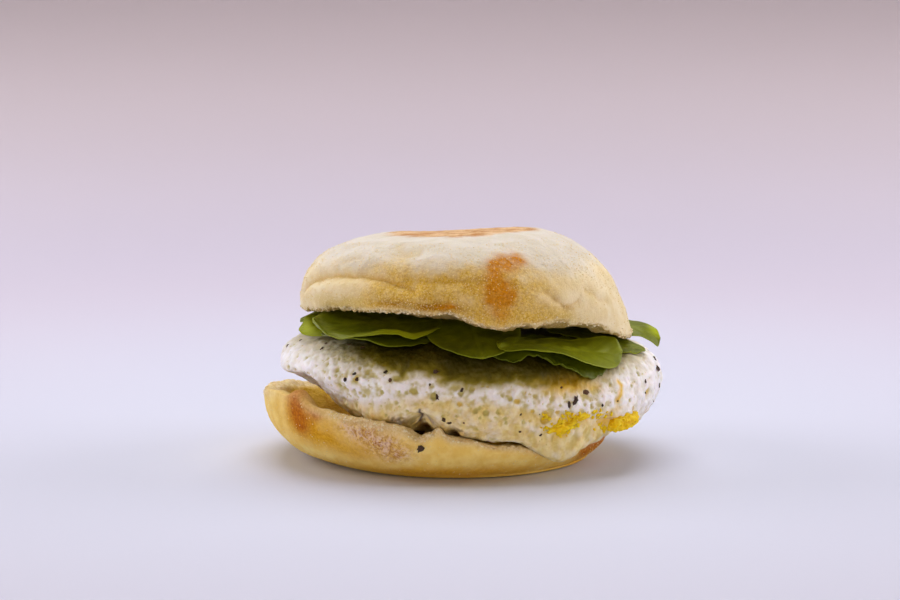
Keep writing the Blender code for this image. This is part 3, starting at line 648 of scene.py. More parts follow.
def shape_egg(skin, heel_tree):
    """The egg patty: uneven lumps, the sagging lobe, burst bubbles and stains of yolk."""
    azimuth, radius, height = skin.polar()
    points = skin.points
    inner = smooth_step(20, 34, radius)
    move = (0.8 * lumps(points, 15, 9) + 0.45 * lumps(points, 6, 2)) * inner
    for *form, out in EGG_PUSHES:
        move += out * patch(azimuth, height, *form)
    drop = np.zeros(azimuth.shape)
    for middle, spread, depth, below in EGG_SAGS:
        share = bell(turn_between(azimuth, middle), spread) * smooth_step(40, 46, radius)
        drop += depth * share * (1 - smooth_step(below - SAG_FADE, below + SAG_FADE, height))
    shelf = height - height_round(azimuth, SHELF) + 0.8 * lumps(points, 4, 84)
    move -= 0.35 * bell(shelf, 0.8) * inner
    skin.push(move)
    skin.lift(-drop)
    relief = rough(points, 2.2, 71)
    skin.push(inner * (0.44 * relief + 0.15 * rough(points, 1.1, 75, 2)))
    keep_clear(skin, heel_tree, HEEL_GAP)
    hollow, golden = carve_bubbles(skin, egg_bubbles(skin, *EGG_SIDE_ROWS))
    azimuth, radius, height = skin.polar()
    wander_az = azimuth + 1.2 * rough(points, 3, 81)
    wander_z = height + 0.9 * rough(points, 3, 82)
    shaded = wander_z - height_round(wander_az, SHADE_EDGE)
    curl = beside_line(azimuth, height, YOLK_CURL, EGG_SIDE_RADIUS)[0]
    sliver = beside_line(azimuth, height, GREY_SLIVER, EGG_SIDE_RADIUS)[0]
    skin.masks = {
        "hollow": hollow,
        # Painted shade in the low places of the egg's relief, strongest over the stated parts.
        "dip": smooth_step(0.25, -0.6, relief) * (0.35 + 0.65 * over_parts(azimuth, DIP_SHADE_PARTS)),
        "golden": golden,
        "yolk": np.maximum(patches(wander_az, wander_z, EGG_GOLD), bell(curl, 0.85)),
        # Painted shade under the leaves, and how deep it grows towards them.
        "shade": smooth_step(-1, 1, shaded / height_round(azimuth, SHADE_SOFTNESS)),
        "deep": 1 - np.exp(-np.maximum(shaded, 0) / SHADE_DEPTH),
        # Painted warm shade below the shelf line.
        "tan": (1 - smooth_step(-2.2, 1.6, shelf)) * np.clip(0.85 + 0.6 * rough(points, 3.4, 86), 0, 1),
        "sliver": bell(sliver, 0.4),
        # Painted dark shade on the downward-facing underside in the gaps.
        "gap": patches(azimuth, height, EGG_GAP_SHADE) * smooth_step(-0.2, -0.55, skin.normals()[..., 2]),
    }


class Shader:
    """A material's node tree, built up by short calls. Lengths in it are in millimetres."""

    def __init__(self, name):
        self.material = bpy.data.materials.new(name)
        self.material.use_nodes = True
        self.tree = self.material.node_tree
        self.output = self.tree.nodes["Principled BSDF"]
        coordinates = self.tree.nodes.new("ShaderNodeTexCoord")
        scale = self.tree.nodes.new("ShaderNodeVectorMath")
        scale.operation = "SCALE"
        scale.inputs["Scale"].default_value = 1 / MM
        self.tree.links.new(coordinates.outputs["Object"], scale.inputs[0])
        self.place = scale.outputs[0]
        self.colour = None

    def put(self, target, value):
        """Sets a socket to a value, or links an output to it."""
        if isinstance(value, bpy.types.NodeSocket):
            self.tree.links.new(value, target)
        elif isinstance(value, tuple) and len(value) == 3 and target.type == "RGBA":
            target.default_value = (*value, 1)
        else:
            target.default_value = value

    def add(self, kind, inputs, output, **settings):
        """A node with its settings and inputs. Returns one of its outputs."""
        node = self.tree.nodes.new("ShaderNode" + kind)
        for name, value in settings.items():
            setattr(node, name, value)
        for socket, value in inputs.items():
            self.put(node.inputs[socket], value)
        return node.outputs[output]

    def mask(self, name):
        return self.add("Attribute", {}, "Fac", attribute_name=name)

    def grain(self, size, detail=4, roughness=0.55, distortion=0):
        """Noise around 0.5 with lumps of a size."""
        look = {"Scale": 1 / size, "Detail": detail, "Roughness": roughness, "Distortion": distortion}
        return self.add("TexNoise", {"Vector": self.place, **look}, "Fac")

    def cells(self, size):
        return self.add("TexVoronoi", {"Vector": self.place, "Scale": 1 / size}, "Distance")

    def math(self, operation, a, b):
        return self.add("Math", {0: a, 1: b}, 0, operation=operation)

    def ramp(self, value, low=0.35, high=0.65, start=0, end=1):
        """Maps low..high to start..end, smoothly and clamped."""
        limits = {"From Min": low, "From Max": high, "To Min": start, "To Max": end}
        return self.add("MapRange", {"Value": value, **limits}, "Result", interpolation_type="SMOOTHSTEP")

    def length(self, vector):
        return self.add("VectorMath", {0: vector}, "Value", operation="LENGTH")

    def mix(self, share, a, b):
        return self.add("Mix", {"Factor": share, 6: a, 7: b}, 2, data_type="RGBA")

    def layer(self, mask, colour, other=None, blend=None, strength=1):
        """Covers the colour so far where a mask says so, with a colour or with a blend of two."""
        share = self.mask(mask) if isinstance(mask, str) else mask
        if strength != 1:
            share = self.math("MULTIPLY", share, strength)
        over = colour if other is None else self.mix(blend, colour, other)
        self.colour = self.mix(share, self.colour, over)

    def relief(self, coarse, fine, share, distance):
        """Relief by a coarse grain with a share of a fine one, of a height in millimetres."""
        return self.bump(self.math("ADD", coarse, self.math("MULTIPLY", fine, share)), distance)

    def bump(self, height, distance):
        """Relief by a value, of a height in millimetres."""
        return self.add("Bump", {"Strength": 1, "Distance": distance * MM, "Height": height}, "Normal")

    def soften(self, weight, radius):
        """Light that spreads under the skin, by a radius in millimetres for red, green and blue."""
        self.output.inputs["Subsurface Weight"].default_value = weight
        self.output.inputs["Subsurface Radius"].default_value = tuple(reach * MM for reach in radius)
        self.output.inputs["Subsurface Scale"].default_value = 1

    def finish(self, **sockets):
        for name, value in sockets.items():
            self.put(self.output.inputs[name.replace("_", " ")], value)
        return self.material


LEAF_SHEEN = (0.85, 0.95, 0.35, 1)


def toasted(s):
    """The toast mask, broken up by a grain."""
    return s.math("MULTIPLY", s.mask("toast"), s.ramp(s.grain(1.2, 5, 0.7), 0.25, 0.6, 0.7, 1))


def crust_finish():
    """The crown's floured skin, golden low on the side, with toasted spots and a browned top."""
    s = Shader("crown_crust")
    blotch = s.ramp(s.grain(5, 3))
    fine = s.ramp(s.grain(0.7, 5, 0.7))
    s.colour = s.mix(blotch, (0.82, 0.68, 0.39), (0.88, 0.77, 0.52))
    s.layer("top", (0.69, 0.64, 0.53), (0.74, 0.70, 0.62), blotch)
    s.layer("low", (0.60, 0.42, 0.09), (0.70, 0.54, 0.18), fine, 0.85)
    s.layer("gold", (0.56, 0.32, 0.035), (0.81, 0.58, 0.13), fine)
    # Painted shade in the creases.
    s.layer("crease", (0.62, 0.38, 0.03), strength=0.5)
    # Brown band, and painted shade in and below the front creases.
    s.layer("brown", (0.30, 0.12, 0.001), (0.46, 0.23, 0.006), fine)
    s.layer("crumb", (0.72, 0.56, 0.26), (0.86, 0.76, 0.54), fine)
    # Painted shade on the underside.
    s.layer("split", (0.46, 0.29, 0.07), (0.62, 0.43, 0.15), fine)
    s.layer(toasted(s), (0.46, 0.155, 0.001), (0.66, 0.27, 0.004), fine)
    s.layer("griddle", (0.50, 0.23, 0.075), (0.76, 0.52, 0.29), s.ramp(s.grain(6, 6, 0.62), 0.34, 0.66))
    less_on_toast = s.ramp(s.mask("toast"), 0, 1, 0.4, 0.06)
    s.layer(s.math("MULTIPLY", s.ramp(s.grain(0.42, 2, 0.8), 0.54, 0.65), less_on_toast), (0.94, 0.84, 0.56))
    relief = s.relief(s.grain(1.6, 6, 0.65), s.grain(0.35, 3), 0.6, 0.34)
    s.soften(0.1, (2.4, 1.2, 0.4))
    return s.finish(Base_Color=s.colour, Roughness=0.8, Normal=relief, Specular_IOR_Level=0.05)


def heel_finish():
    """The heel's baked skin: yellow, orange and brown, with a pale smear, its pinkish wet sheen painted in,
    and a torn crumb.
    """
    s = Shader("heel_crust")
    fine = s.ramp(s.grain(0.8, 5, 0.7))
    s.colour = s.mix(s.ramp(s.grain(4, 3)), (0.90, 0.64, 0.17), (0.97, 0.76, 0.27))
    s.layer("low", (0.86, 0.52, 0.06), strength=0.8)
    s.layer("orange", (0.62, 0.29, 0.005), (0.78, 0.44, 0.025), fine)
    s.layer(toasted(s), (0.38, 0.09, 0.0001), (0.58, 0.185, 0.0005), fine)
    s.layer("inner", (0.56, 0.31, 0.015), (0.76, 0.50, 0.075), fine)
    s.layer("rim", (0.68, 0.50, 0.22), (0.84, 0.70, 0.46), fine, 0.9)
    # The smear's own pale colour, with a painted pinkish sheen.
    smear = s.math("MULTIPLY", s.mask("smear"), s.ramp(s.grain(1, 6, 0.7, 1.2), 0.30, 0.56))
    s.layer(smear, (0.44, 0.17, 0.04), (0.76, 0.56, 0.48), s.ramp(s.grain(1.7, 5, 0.62, 0.8), 0.42, 0.60))
    relief = s.relief(s.grain(1.4, 6, 0.65), s.grain(0.35, 3), 0.5, 0.28)
    s.soften(0.1, (2.2, 1.1, 0.3))
    return s.finish(Base_Color=s.colour, Roughness=0.65, Normal=relief, Specular_IOR_Level=0.08)


def egg_finish():
    """Moist cooked white: lavender-white in the light, painted warm shade low down, painted olive shade under
    the leaves.
    """
    s = Shader("egg_white")
    blotch = s.ramp(s.grain(2.6, 4, 0.6))
    s.colour = s.mix(blotch, (0.87, 0.85, 0.87), (0.93, 0.93, 0.97))
    # Painted olive shade in the low places of the relief.
    s.layer("dip", (0.56, 0.49, 0.19), strength=0.9)
    # Painted warm shade, tan, low on the side.
    s.layer("tan", (0.72, 0.53, 0.15), (0.88, 0.73, 0.30), blotch, 0.85)
    # Olive tint in the pits, darkened further as painted shade in them.
    s.layer("hollow", (0.55, 0.49, 0.16), strength=0.85)
    gold = s.math("MAXIMUM", s.math("MULTIPLY", s.mask("golden"), 0.6), s.mask("yolk"))
    s.layer(gold, (0.76, 0.46, 0.02), (0.84, 0.62, 0.14), s.grain(1.2))
    # Painted shade under the leaves: olive, brass where the yolk's gold lies, near black close to the leaves.
    olive = s.mix(s.mask("deep"), (0.38, 0.31, 0.02), (0.012, 0.010, 0.0002))
    brass = s.mix(s.mask("deep"), (0.60, 0.36, 0.006), (0.09, 0.055, 0.0004))
    s.layer("shade", olive, brass, gold)
    s.layer("sliver", (0.10, 0.075, 0.09))
    # Painted shade in the gaps under the egg.
    s.layer("gap", (0.07, 0.022, 0.0006))
    relief = s.relief(s.grain(0.9, 5, 0.6), s.cells(0.8), 0.4, 0.2)
    s.soften(0.25, (2.6, 1.6, 0.7))
    return s.finish(Base_Color=s.colour, Roughness=0.45, Normal=relief, Specular_IOR_Level=0.15)


def leaf_finish():
    """Spinach: satin olive green, paler beneath; painted highlight on the margin, painted sheen, painted lime
    light where light comes through, painted shade on low leaves.
    """
    s = Shader("spinach_leaf")
    s.colour = s.mix(s.ramp(s.grain(4, 3), 0.3, 0.7), (0.085, 0.105, 0.001), (0.15, 0.18, 0.002))
    s.layer("beneath", (0.14, 0.17, 0.01), (0.20, 0.24, 0.03), s.grain(3, 3))
    s.layer("vein", (0.24, 0.28, 0.012), strength=0.45)
    # Painted highlight along the margins.
    s.layer("margin", (0.28, 0.33, 0.012), strength=0.5)
    # Painted sheen.
    s.layer("pale", (0.17, 0.20, 0.02))
    # Painted lime light.
    s.layer("bright", (0.42, 0.50, 0.008))
    # Painted shade on the low leaves.
    s.layer("dim", (0.05, 0.07, 0.001))
    s.soften(0.12, (1.2, 1.4, 0.1))
    s.output.inputs["Specular Tint"].default_value = LEAF_SHEEN
    relief = s.bump(s.grain(0.8, 4), 0.06)
    return s.finish(Base_Color=s.colour, Roughness=0.45, Normal=relief, Specular_IOR_Level=0.35)


# The solids' leaves, lowest first, which the fine ones follow: middle x and y, heading, length, width.
# u runs from -1 at the stem to 1 at the tip, and v from -1 at the right margin to 1 at the left.
Leaf = namedtuple("Leaf", "name x y heading length width")
LEAVES = (
    Leaf("spinach_right_low", 38, -8, -8, 28, 17),
    Leaf("spinach_front_right_low", 22.5, -31.5, 36, 38, 19),
    Leaf("spinach_front_left_low", -25.5, -29, 171, 31, 29),
    Leaf("spinach_back_left", -22, 28, 122, 40, 25),
    Leaf("spinach_back_right", 27, 29, 50, 36, 23),
    Leaf("spinach_back", 6, 30, 82, 40, 27),
    Leaf("spinach_left_back", -34, 9, 168, 28, 21),
    Leaf("spinach_far_left", -31.8, -14, 185, 26, 17),
    Leaf("spinach_front_middle", 3.4, -30, 275, 38, 25),
    Leaf("spinach_front_left", -25, -28.5, 194, 38, 28),
    Leaf("spinach_front_right", 28.5, -32.5, 35, 40, 15),
    Leaf("spinach_far_right", 44.5, 16.5, 2, 27, 13),
)
# How far a blade's margins are drawn aside at some places along it: u, then millimetres right, back
# and up for the right margin, then for the left one.
MARGINS = {
    "spinach_front_left": (
        (-0.6, 0, 0, 0, 0, 0, 0), (-0.3, 0, 0, 0, 0, 0, 0), (0, 0, 0, 0, 0, 0, 1.2),
        (0.3, 0, 0, 0, 0, 0, 0.9), (0.6, 0, 0, 0, 0, 0, -0.6), (0.81, 0.5, 0, 0, 0.6, 0, -0.4),
        (0.95, 1.8, 0, 1, 1.7, 0, 1.3), (1, 2, 0, 2.2, 2, 0, 2.2),
    ),
    "spinach_front_left_low": (
        (-1, 0.8, 0, 0, 0.8, 0, -2), (-0.95, 0, 0, 0, 0, 0, -1.2), (-0.8, 0, 0, 0, 0, 0, -0.9),
        (-0.6, 0, 0, 0, 0, 0, 0), (-0.3, 0, 0, 0, 0, 0, 1.1), (0, 0, 0, 0, 0, 0, 1.3),
        (0.3, 0, 0, 0, 0, 0.8, 2.9), (0.6, 0, 0, 0, 0, 0.8, 2.2), (1, 1.5, 0, 0.4, 1.5, 0, 0.4),
    ),
    "spinach_front_middle": (
        (-0.6, -0.8, 0, 0, 0, 0, 0), (0, -1.7, 0, 0, 0, 0, 0), (0.3, -1.7, 0, 0.2, 0, 0, 0),
        (0.6, -1.4, 0, 0, 0, 0, 0), (0.9, -0.3, 0, 0, 0, 0, 0), (1, 0, 0, 0, 0, 0, 0),
    ),
    "spinach_front_right": (
        (-1, -2.8, 0, 0.6, -2.8, 0, 0.6), (-0.8, -1.6, 0, 3, -1.2, 0, -0.6),
        (-0.6, 0, 0, 4.1, 0, 0, -2), (-0.3, 0, 0, 3.4, 0, 0, -2.1), (0, 0, 0, 0.8, 0, 0, -2.7),
        (0.3, 0, 0, 0, 0, 0, -2.6), (0.6, 0, 0, -1.8, 0, 0, -0.6), (0.8, -0.7, 0, -2.2, 0, 0, 0.6),
        (0.95, -1.1, 0, -1.1, 0, 0, 1.9), (1, -0.5, 0, 0, -0.5, 0, 0),
    ),
    "spinach_front_right_low": (
        (-1, 0, 0, 0, 0, 0, 0), (-0.8, 0, 0, 0.5, 0, 0, 0), (-0.6, 0, 1, 3.9, 0, 0, 0),
        (-0.3, 0, 0.4, 2.2, 0, 0, 0), (0, 1, -1.4, -1.5, 0, 0, 0), (0.3, 1.9, -2.4, -3.3, 0, 0, 0),
        (0.6, 2.2, -2.8, -4.6, 0, 0, 0), (0.8, 2.6, -2.2, -4.3, 0, 0, 0),
        (1, 2.4, -1, -1.8, 2.4, 0, -1.8),
    ),
    "spinach_right_low": (
        (-0.3, 0, 0, 0, 0, 0, 0), (0.2, 0.4, -0.6, -1.5, 0, 0, 0), (0.5, 1.2, -2, -3.6, 0, 0, 0),
        (0.8, 0.4, -0.4, -0.8, 0, 0, 0), (1, 0, 0, 0, 0, 0, 0),
    ),
    "spinach_far_right": (
        (-0.4, 0, 0, 0, 0, 0, 0), (0, 0, 0, -2.2, 0, 0, 0), (0.3, 0, 0, -2.5, 0, 0, -0.4),
        (0.6, 0, 0, -2.4, 0, 0, -0.6), (0.8, 0.5, 0, -3.8, 0, 0, -0.9),
        (0.95, 0.4, 0, -5.6, 0.4, 0, -1.2), (1, 0.4, 0, -3.4, 0.4, 0, -3.4),
    ),
    "spinach_far_left": (
        (0, 0, 0, 0, 0, 0, 0), (0.3, 0, 0, 0, 0, 0, -1.2), (0.6, -1.6, 0, 0.4, 0, 0, -2.3),
        (0.8, -2.4, 0, 0.3, 0, 0, -2.2), (0.95, -1.5, 0, -1.1, -1.5, 0, -2.4),
        (1, -2, 0, -1.9, -2, 0, -1.9),
    ),
}
# Spots on a blade: u, v, half sizes in u and v, and a rise in millimetres or a strength of colour.
CRESTS = {
    "spinach_front_left": (
        (-0.25, 0.84, 0.42, 0.11, 1.2), (-0.1, 0.35, 0.7, 0.32, -1), (0.4, -0.9, 0.5, 0.4, 1),
        (-0.45, 0.95, 0.09, 0.25, -0.5), (-0.2, 0.95, 0.08, 0.25, 0.45),
    ),
    "spinach_front_middle": ((0.2, 0.1, 0.6, 0.5, 0.5), (-0.45, 0, 0.4, 1.2, 3)),
    "spinach_front_right": (
        (0.3, 0.95, 0.16, 0.3, -0.35), (0.05, 0.95, 0.14, 0.3, 0.3), (0.7, -0.1, 0.3, 0.5, -0.4),
    ),
    "spinach_back_left": ((-0.2, 0.2, 0.5, 0.6, 2.4), (-0.3, 0.2, 0.4, 0.6, 2.5)),
    "spinach_back_right": ((-0.1, -0.5, 0.8, 1, 7),),
    "spinach_back": ((-0.2, 0, 0.6, 0.6, 4.2),),
    "spinach_left_back": ((0.1, 0, 0.7, 0.8, 5.6),),
    "spinach_far_right": ((-0.6, 0, 0.5, 1.4, 6),),
}
# Painted sheen: grey-green, where a blade catches the light.
SHEEN_SPOTS = {
    "spinach_front_left": ((0.78, 0.92, 0.3, 0.2, 0.7), (0.35, 0.95, 0.35, 0.14, 0.6)),
    "spinach_front_right": ((0.8, 0.2, 0.16, 0.6, 0.35), (1, 0, 0.03, 1, 0.8)),
    "spinach_far_right": ((0.2, 0, 0.6, 1.2, 0.6),),
}
# Painted light: lime, where light comes through a blade or catches its margin.
PAINTED_LIGHT_SPOTS = {
    "spinach_front_left": ((-0.25, 0.93, 0.5, 0.09, 0.75),),
    "spinach_front_right": ((0, 1, 0.9, 0.07, 0.9), (0.2, -0.2, 0.8, 0.9, 0.38)),
    "spinach_far_left": ((0.9, 0.1, 0.16, 1, 0.9), (0.5, 0.6, 0.4, 0.8, 0.4)),
    "spinach_far_right": ((0.93, 0.5, 0.14, 0.6, 0.95),),
}
# How deep and how large a leaf's ruffles are, in millimetres, and how much painted shade darkens a low leaf,
# if not as usual.
RUFFLES = {
    "spinach_front_right_low": (1.3, 2.6),
    "spinach_front_left_low": (0.5, 5),
    "spinach_right_low": (0.6, 4),
}
PLAIN_RUFFLE = (0.3, 5)
SHADED_LEAVES = {"spinach_front_right_low": 0.7, "spinach_front_left_low": 0.35}
LEAF_ROWS = 10
LEAF_COLUMNS = 6
FINE_STEPS = 8
VEIN_PAIRS = 6
LEAF_HALF_THICKNESS = 0.2
LEAF_GAP = 0.45
BLADE_EVENINGS = 3
MARGIN_EVENINGS = 6
MARGIN_HOLD = 1.2
# How near to a place on the blade its corners are taken from the solid's mesh.
CORNER_REACH = 0.3
# A height between the blades and the underside of the bread, how far to look from it, and the top
# where there is no bread.
BELOW_ROOF = 24
LOOK_FAR = 40
OPEN_TOP = 45
WELD_DISTANCE = 0.02


def leaf_outline(u):
    """Half width of a blade at u, as a share of the widest."""
    return np.sqrt(np.maximum(0, 1 - u * u)) * (1 - 0.12 * u)


def leaf_place(leaf, row, column):
    """Where a point of the solid's blade lies, seen from above, by its row and column."""
    u = -np.cos(np.pi * row / LEAF_ROWS)
    across = (2 * column / LEAF_COLUMNS - 1) * leaf_outline(u)
    angle = math.radians(leaf.heading)
    length, width = u * leaf.length / 2, across * leaf.width / 2
    x = leaf.x + length * math.cos(angle) - width * math.sin(angle)
    y = leaf.y + length * math.sin(angle) + width * math.cos(angle)
    return x, y


def blade_heights(leaf):
    """Heights of the solid blade's middle at its rows and columns."""
    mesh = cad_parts[leaf.name].data
    corners = np.array([vertex.co[:] for vertex in mesh.vertices]) / MM + OUTLINE_CENTRE
    heights = np.zeros((LEAF_ROWS + 1, LEAF_COLUMNS + 1))
    for row in range(LEAF_ROWS + 1):
        for column in range(LEAF_COLUMNS + 1):
            x, y = leaf_place(leaf, row, column)
            away = np.hypot(corners[:, 0] - x, corners[:, 1] - y)
            near = corners[away < away.min() + CORNER_REACH, 2]
            heights[row, column] = (near.min() + near.max()) / 2
    return heights


def finer(table, steps):
    """A table's values at finer steps along its first axis, by smooth interpolation."""
    padded = np.concatenate((2 * table[:1] - table[1:2], table, 2 * table[-1:] - table[-2:-1]))
    rows = [
        catmull(padded[i], padded[i + 1], padded[i + 2], padded[i + 3], step / steps)
        for i in range(len(table) - 1)
        for step in range(steps)
    ]
    return np.array(rows + [table[-1]])


def spots(u, v, wanted):
    """The summed amounts of soft spots over a blade."""
    total = np.zeros(u.shape)
    for at_u, at_v, wide_u, wide_v, amount in wanted:
        total += amount * np.exp(-(((u - at_u) / wide_u) ** 2) - ((v - at_v) / wide_v) ** 2)
    return total


def even_out(values):
    """Values averaged with their neighbours, both ways."""
    inner = np.pad(values, 1, mode="edge")
    sides = inner[:-2, 1:-1] + inner[2:, 1:-1] + inner[1:-1, :-2] + inner[1:-1, 2:]
    return 0.5 * values + 0.125 * sides


def drawn_aside(leaf, u, v):
    """How far the stated margins draw each point of a blade."""
    if leaf.name not in MARGINS:
        return np.zeros((*u.shape, 3))
    places, *draws = zip(*MARGINS[leaf.name])
    draws = np.stack([np.interp(u, places, draw) for draw in draws], axis=-1)
    right, left = (((1 + side) / 2)[..., None] ** MARGIN_HOLD for side in (-v, v))
    drawn = right * draws[..., :3] + left * draws[..., 3:]
    for _ in range(MARGIN_EVENINGS):
        drawn = np.stack([even_out(drawn[..., axis]) for axis in range(3)], axis=-1)
    return drawn


def settle_blade(sheet, below, roof):
    """Keeps a blade above what it lies on, and under the bread."""
    rise = np.zeros(sheet.shape[:2])
    for index in np.ndindex(rise.shape):
        x, y, z = sheet[index]
        over = roof.ray_cast(Vector((x, y, BELOW_ROOF)), Vector((0, 0, 1)), LOOK_FAR)[0]
        top = OPEN_TOP if over is None else over.z
        under = below.ray_cast(Vector((x, y, top)), Vector((0, 0, -1)), LOOK_FAR)[0]
        if under is not None and z < under.z + LEAF_GAP:
            rise[index] = under.z + LEAF_GAP - z
        elif over is not None and z > top - LEAF_GAP:
            rise[index] = top - LEAF_GAP - z
    for _ in range(BLADE_EVENINGS):
        rise = np.where(rise > 0, np.maximum(rise, even_out(rise)), even_out(rise))
    sheet[..., 2] += rise
    return sheet


def sheet_normals(sheet):
    """Unit normals of a blade's middle surface, upward."""
    normal = np.cross(np.gradient(sheet, axis=0), np.gradient(sheet, axis=1))
    length = np.linalg.norm(normal, axis=-1, keepdims=True)
    normal = np.where(length > 1e-9, normal / np.maximum(length, 1e-9), (0, 0, 1))
    flip = np.sign(np.median(normal[..., 2]))
    return normal * flip


def build_leaf(leaf, finish, below, roof):
    """A thin blade on the solid's middle surface, with a midrib, side veins and a wavy margin."""
    heights = finer(finer(blade_heights(leaf), FINE_STEPS).T, FINE_STEPS).T
    rows, columns = heights.shape
    row = np.linspace(0, LEAF_ROWS, rows)[:, None] * np.ones((1, columns))
    column = np.linspace(0, LEAF_COLUMNS, columns)[None, :] * np.ones((rows, 1))
    x, y = leaf_place(leaf, row, column)
    u = -np.cos(np.pi * row / LEAF_ROWS)
    v = 2 * column / LEAF_COLUMNS - 1
    flat = np.stack((x, y, np.zeros_like(x)), axis=-1)
    sheet = np.stack((x, y, heights), axis=-1) + drawn_aside(leaf, u, v)
    sheet[..., 2] += spots(u, v, CRESTS.get(leaf.name, ()))
    ruffle, ruffle_size = RUFFLES.get(leaf.name, PLAIN_RUFFLE)
    sheet[..., 2] += np.abs(v) ** 3 * ruffle * rough(flat, ruffle_size, leaf.length, 2)
    sheet = settle_blade(sheet, BVHTree.FromPolygons(*below), roof)
    vein_phase = (u - 0.55 * np.abs(v) ** 0.8) * VEIN_PAIRS / 2 + 0.15 * lumps(flat, 8, leaf.width)
    side_vein = bell(1 - 2 * np.abs(vein_phase % 1 - 0.5), 0.09) * smooth_step(1, 0.6, np.abs(v))
    midrib = bell(v * leaf_outline(u) * leaf.width / 2, 0.5)
    quilt = np.cos(vein_phase * 2 * np.pi) * -0.5 * smooth_step(1, 0.7, np.abs(v))
    sheet[..., 2] += 0.14 * quilt - 0.16 * midrib - 0.08 * side_vein
    thin = sheet_normals(sheet) * LEAF_HALF_THICKNESS * (1 - 0.6 * np.abs(v)[..., None] ** 6)
    points = np.concatenate(((sheet + thin).reshape(-1, 3), (sheet - thin).reshape(-1, 3)))
    index = np.arange(rows * columns).reshape(rows, columns)
    quads = np.stack((index[:-1, :-1], index[1:, :-1], index[1:, 1:], index[:-1, 1:]), axis=-1)
    quads = quads.reshape(-1, 4)
    count = rows * columns
    rim = np.concatenate((index[0, :-1], index[:-1, -1], index[-1, :0:-1], index[:0:-1, 0]))
    after = np.roll(rim, -1)
    walls = np.stack((rim, after, after + count, rim + count), axis=-1)
    faces = quads.tolist() + (quads[:, ::-1] + count).tolist() + walls.tolist()
    shades = {
        "vein": np.maximum(midrib, 0.6 * side_vein),
        # Painted highlight along the margins.
        "margin": np.maximum(np.abs(v) ** 14, np.abs(u) ** 30),
        "pale": np.clip(spots(u, v, SHEEN_SPOTS.get(leaf.name, ())), 0, 1),
        "bright": np.clip(spots(u, v, PAINTED_LIGHT_SPOTS.get(leaf.name, ())), 0, 1),
        "dim": np.full(u.shape, SHADED_LEAVES.get(leaf.name, 0)),
    }
    masks = {key: np.tile(values.ravel(), 2) for key, values in shades.items()}
    masks["beneath"] = np.repeat((0, 1), count)
    piece = mesh_piece(leaf.name + "_blade", points, faces, finish, masks)
    weld_tips(piece)
    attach(piece, "root")
    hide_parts(leaf.name)
    start = len(below[0])
    below[0].extend(points.tolist())
    below[1].extend([[corner + start for corner in face] for face in faces])


def weld_tips(piece):
    """Joins the points that fall together at a blade's two ends."""
    bm = bmesh.new()
    bm.from_mesh(piece.data)
    bmesh.ops.remove_doubles(bm, verts=bm.verts, dist=WELD_DISTANCE * MM)
    bmesh.ops.recalc_face_normals(bm, faces=bm.faces)
    bm.to_mesh(piece.data)
    bm.free()


def icosphere(divisions):
    """Points and triangles of a unit icosphere."""
    bm = bmesh.new()
    bmesh.ops.create_icosphere(bm, subdivisions=divisions, radius=1)
    points = np.array([vert.co[:] for vert in bm.verts])
    faces = [[vert.index for vert in face.verts] for face in bm.faces]
    bm.free()
    return points, faces


LUMP_NOISE = 1.7


class Bits:
    """Many small lumps gathered into one mesh."""

    def __init__(self, divisions):
        self.shape, self.shape_faces = icosphere(divisions)
        self.points, self.faces, self.shades = [], [], []

    def add(self, skin, at, size, draw, flat, uneven, sunk):
        """One lump, partly sunk in a skin at a column and row, turned at random about the normal."""
        place = skin.points[at]
        turn = Vector(skin.facing[at]).to_track_quat("Z", "Y").to_matrix()
        spin = draw.uniform(0, 2 * math.pi)
        stretch = np.array((draw.uniform(0.8, 1.4), draw.uniform(0.6, 1), flat)) * size
        bumps = np.array([noise.noise(Vector(p) * LUMP_NOISE + Vector(place)) for p in self.shape])
        local = self.shape * (1 + uneven * bumps)[:, None] * stretch
        x = local[:, 0] * math.cos(spin) - local[:, 1] * math.sin(spin)
        y = local[:, 0] * math.sin(spin) + local[:, 1] * math.cos(spin)
        local = np.stack((x, y, local[:, 2] + flat * size * (1 - 2 * sunk)), axis=-1) @ np.array(turn).T
        start = sum(len(block) for block in self.points)
        self.points.append(local + np.asarray(place))
        self.faces += [[start + index for index in face] for face in self.shape_faces]
        self.shades += [draw.random()] * len(local)

    def build(self, name, finish, slot, smooth=False):
        points, masks = np.concatenate(self.points), {"shade": self.shades}
        piece = mesh_piece(name, points, self.faces, finish, masks, smooth)
        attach(piece, "root")


def bits_finish(name, dark, light, roughness):
    """Each lump has its own shade between two colours."""
    s = Shader(name)
    return s.finish(Base_Color=s.mix(s.mask("shade"), dark, light), Roughness=roughness)


PEPPER_SPOTS = (
    (190.1, 34.3, .5), (210, 35.7, .5), (211.7, 34.5, .6), (220.6, 36.2, .7), (226.8, 35.8, .7),
    (228.6, 28.1, .6), (231.6, 29.9, .5), (232.3, 28.3, .85), (241.6, 31, .6), (243.7, 29.1, .75),
    (257.6, 31.4, .8), (256, 28.2, .45), (258.1, 24.6, .95), (266.2, 26.7, .6), (260.5, 18.5, .6),
    (262.1, 16.6, .5), (266.8, 17.7, .35), (285, 19.7, .4), (285, 14.8, .4), (292, 13.6, .45),
    (309.2, 24.3, .75), (304.1, 22.5, .9), (301.6, 21.6, .75), (314, 20.5, .45), (300.2, 26.2, .3),
    (321, 20.9, .35), (291.3, 19.5, .2),
)
PEPPER_SEED = 12
PEPPER_BEHIND = 44
BEHIND_AZIMUTHS = (-30, 195)
BEHIND_HEIGHTS = (16, 33)
HEEL_FLAKE = (265.7, 10.6)
HEEL_FLAKE_ROWS = (20, 60)


